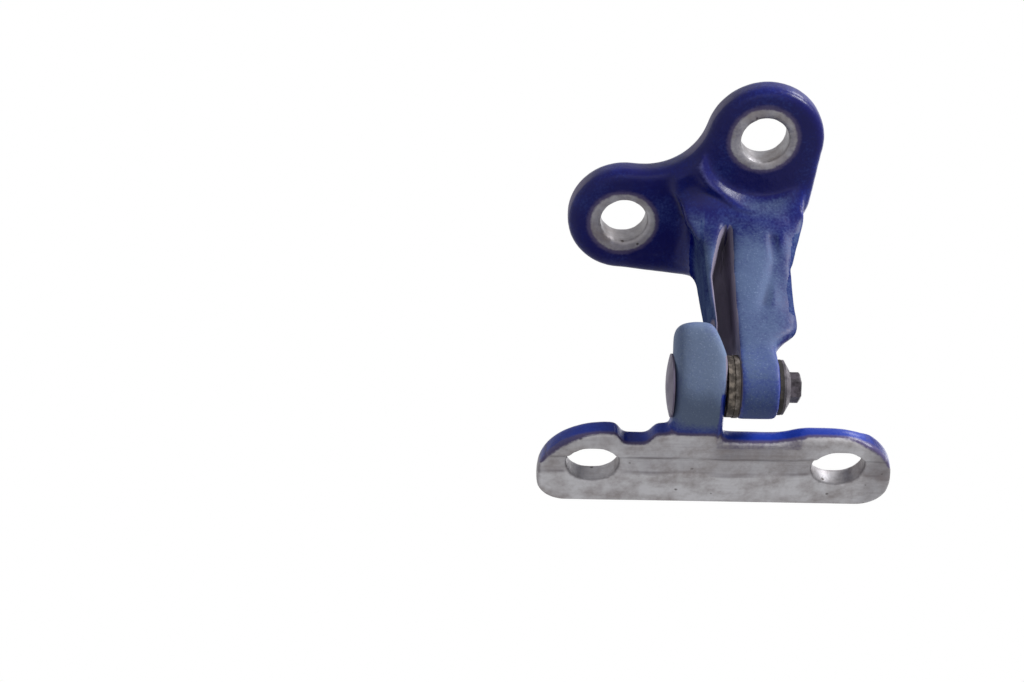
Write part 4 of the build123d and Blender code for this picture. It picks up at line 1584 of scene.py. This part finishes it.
@dataclass
class Studio:
    """Camera, soft light, white surroundings and a pale floor (metres where no unit is named)."""

    lens_mm: float = 55.0
    sensor_mm: float = 36.0
    nearest: float = 0.01
    tilt_deg: float = 46.0
    roll_deg: float = -1.0
    offset_mm: tuple[float, float, float] = (62.03, -38.73, -477.0)
    middle: Vector = Vector((0.03, -0.045, 0.0))
    floor_z: float = -0.34
    floor_half: float = 0.2
    floor_colour: str = "#efefef"
    room_colour: str = "#ffffff"
    fill: float = 0.3
    lamps: tuple[Lamp, ...] = (
        Lamp("overhead_box", towards=(0.643, -0.131, 0.755), distance=0.8, size=0.26, power=8.5),
        Lamp("ridge_box", towards=(0.382, -0.695, 0.610), distance=0.8, size=0.22, power=2.4),
        Lamp("front_box", towards=(0.6, 0.8, 0.1), distance=1.1, size=0.8, power=1.4),
        Lamp("back_box", towards=(-0.7, -0.5, 0.5), distance=1.2, size=0.9, power=3.0),
    )

    def build(self) -> None:
        """Set up the whole studio."""
        self._camera()
        self._world()
        self._floor()
        for lamp in self.lamps:
            lamp.build(self.middle)
        bpy.context.scene.view_settings.view_transform = "Standard"

    def _camera(self) -> None:
        """Place the camera where the photograph was taken from."""
        tilt = math.radians(self.tilt_deg)
        rows = Matrix((
            (0.0, 0.0, 1.0),
            (math.cos(tilt), -math.sin(tilt), 0.0),
            (math.sin(tilt), math.cos(tilt), 0.0),
        ))
        turn = Matrix.Rotation(math.radians(self.roll_deg), 3, "Z") @ rows
        back = turn.transposed()
        place = -(back @ (Vector(self.offset_mm) * MM))
        lens = bpy.data.cameras.new("photo_camera")
        lens.sensor_fit = "HORIZONTAL"
        lens.sensor_width = self.sensor_mm
        lens.lens = self.lens_mm
        lens.clip_start = self.nearest
        camera = bpy.data.objects.new("photo_camera", lens)
        camera.matrix_world = Matrix.Translation(place) @ back.to_4x4()
        bpy.context.scene.collection.objects.link(camera)
        bpy.context.scene.camera = camera

    def _world(self) -> None:
        """White to the camera and in reflections, a soft even fill otherwise."""
        world = bpy.data.worlds.new("white_room")
        world.use_nodes = True
        tree = world.node_tree
        tree.nodes.clear()
        path = add_node(tree, "ShaderNodeLightPath").node.outputs
        seen = add_node(tree, "ShaderNodeMath", {0: path["Is Camera Ray"], 1: path["Is Glossy Ray"]},
                        operation="MAXIMUM")
        shown = add_node(tree, "ShaderNodeMath", {0: seen, 1: path["Is Transmission Ray"]},
                         operation="MAXIMUM")
        strength = add_node(tree, "ShaderNodeMapRange", {
            "Value": shown, "To Min": self.fill, "To Max": 1.0})
        light = add_node(tree, "ShaderNodeBackground", {
            "Color": linear(self.room_colour), "Strength": strength})
        add_node(tree, "ShaderNodeOutputWorld", {"Surface": light})
        bpy.context.scene.world = world

    def _floor(self) -> None:
        """A plain pale floor well below the hinge."""
        half = self.floor_half
        corners = [(-half, -half), (half, -half), (half, half), (-half, half)]
        mesh = bpy.data.meshes.new("floor")
        points = [(self.middle.x + dx, self.middle.y + dy, self.floor_z) for dx, dy in corners]
        mesh.from_pydata(points, [], [(0, 1, 2, 3)])
        material, tree = new_material("pale_floor")
        shader = add_node(tree, "ShaderNodeBsdfDiffuse", {"Color": linear(self.floor_colour)})
        add_node(tree, "ShaderNodeOutputMaterial", {"Surface": shader})
        mesh.materials.append(material)
        floor = bpy.data.objects.new("floor", mesh)
        bpy.context.scene.collection.objects.link(floor)


def main() -> None:
    """Build the hinge's pieces in order, then the studio around them."""
    logging.basicConfig(level=logging.INFO, format="%(name)s: %(message)s")
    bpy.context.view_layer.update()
    skin = ForgedSkin()
    pillar_paint = ForgingPaint("pillar_enamel_on_forging")
    door_paint = ForgingPaint("door_enamel_on_forging", chalk="#48587a", chalk_pale="#7685a2",
                              streak_mm=(2.0, 2.0, 2.0))
    leaves = (
        PillarLeaf("pillar_leaf", Body.PILLAR, "pillar_paint", pillar_paint, skin),
        DoorLeaf("door_leaf", Body.DOOR, "door_paint", door_paint, skin),
    )
    for leaf in leaves:
        piece = leaf.build()
        LOG.info("%s: %d faces", piece.name, len(piece.data.polygons))
    for piece in PinStack().build():
        LOG.info("%s dressed", piece.name)
    Studio().build()


if __name__ == "__main__":
    main()
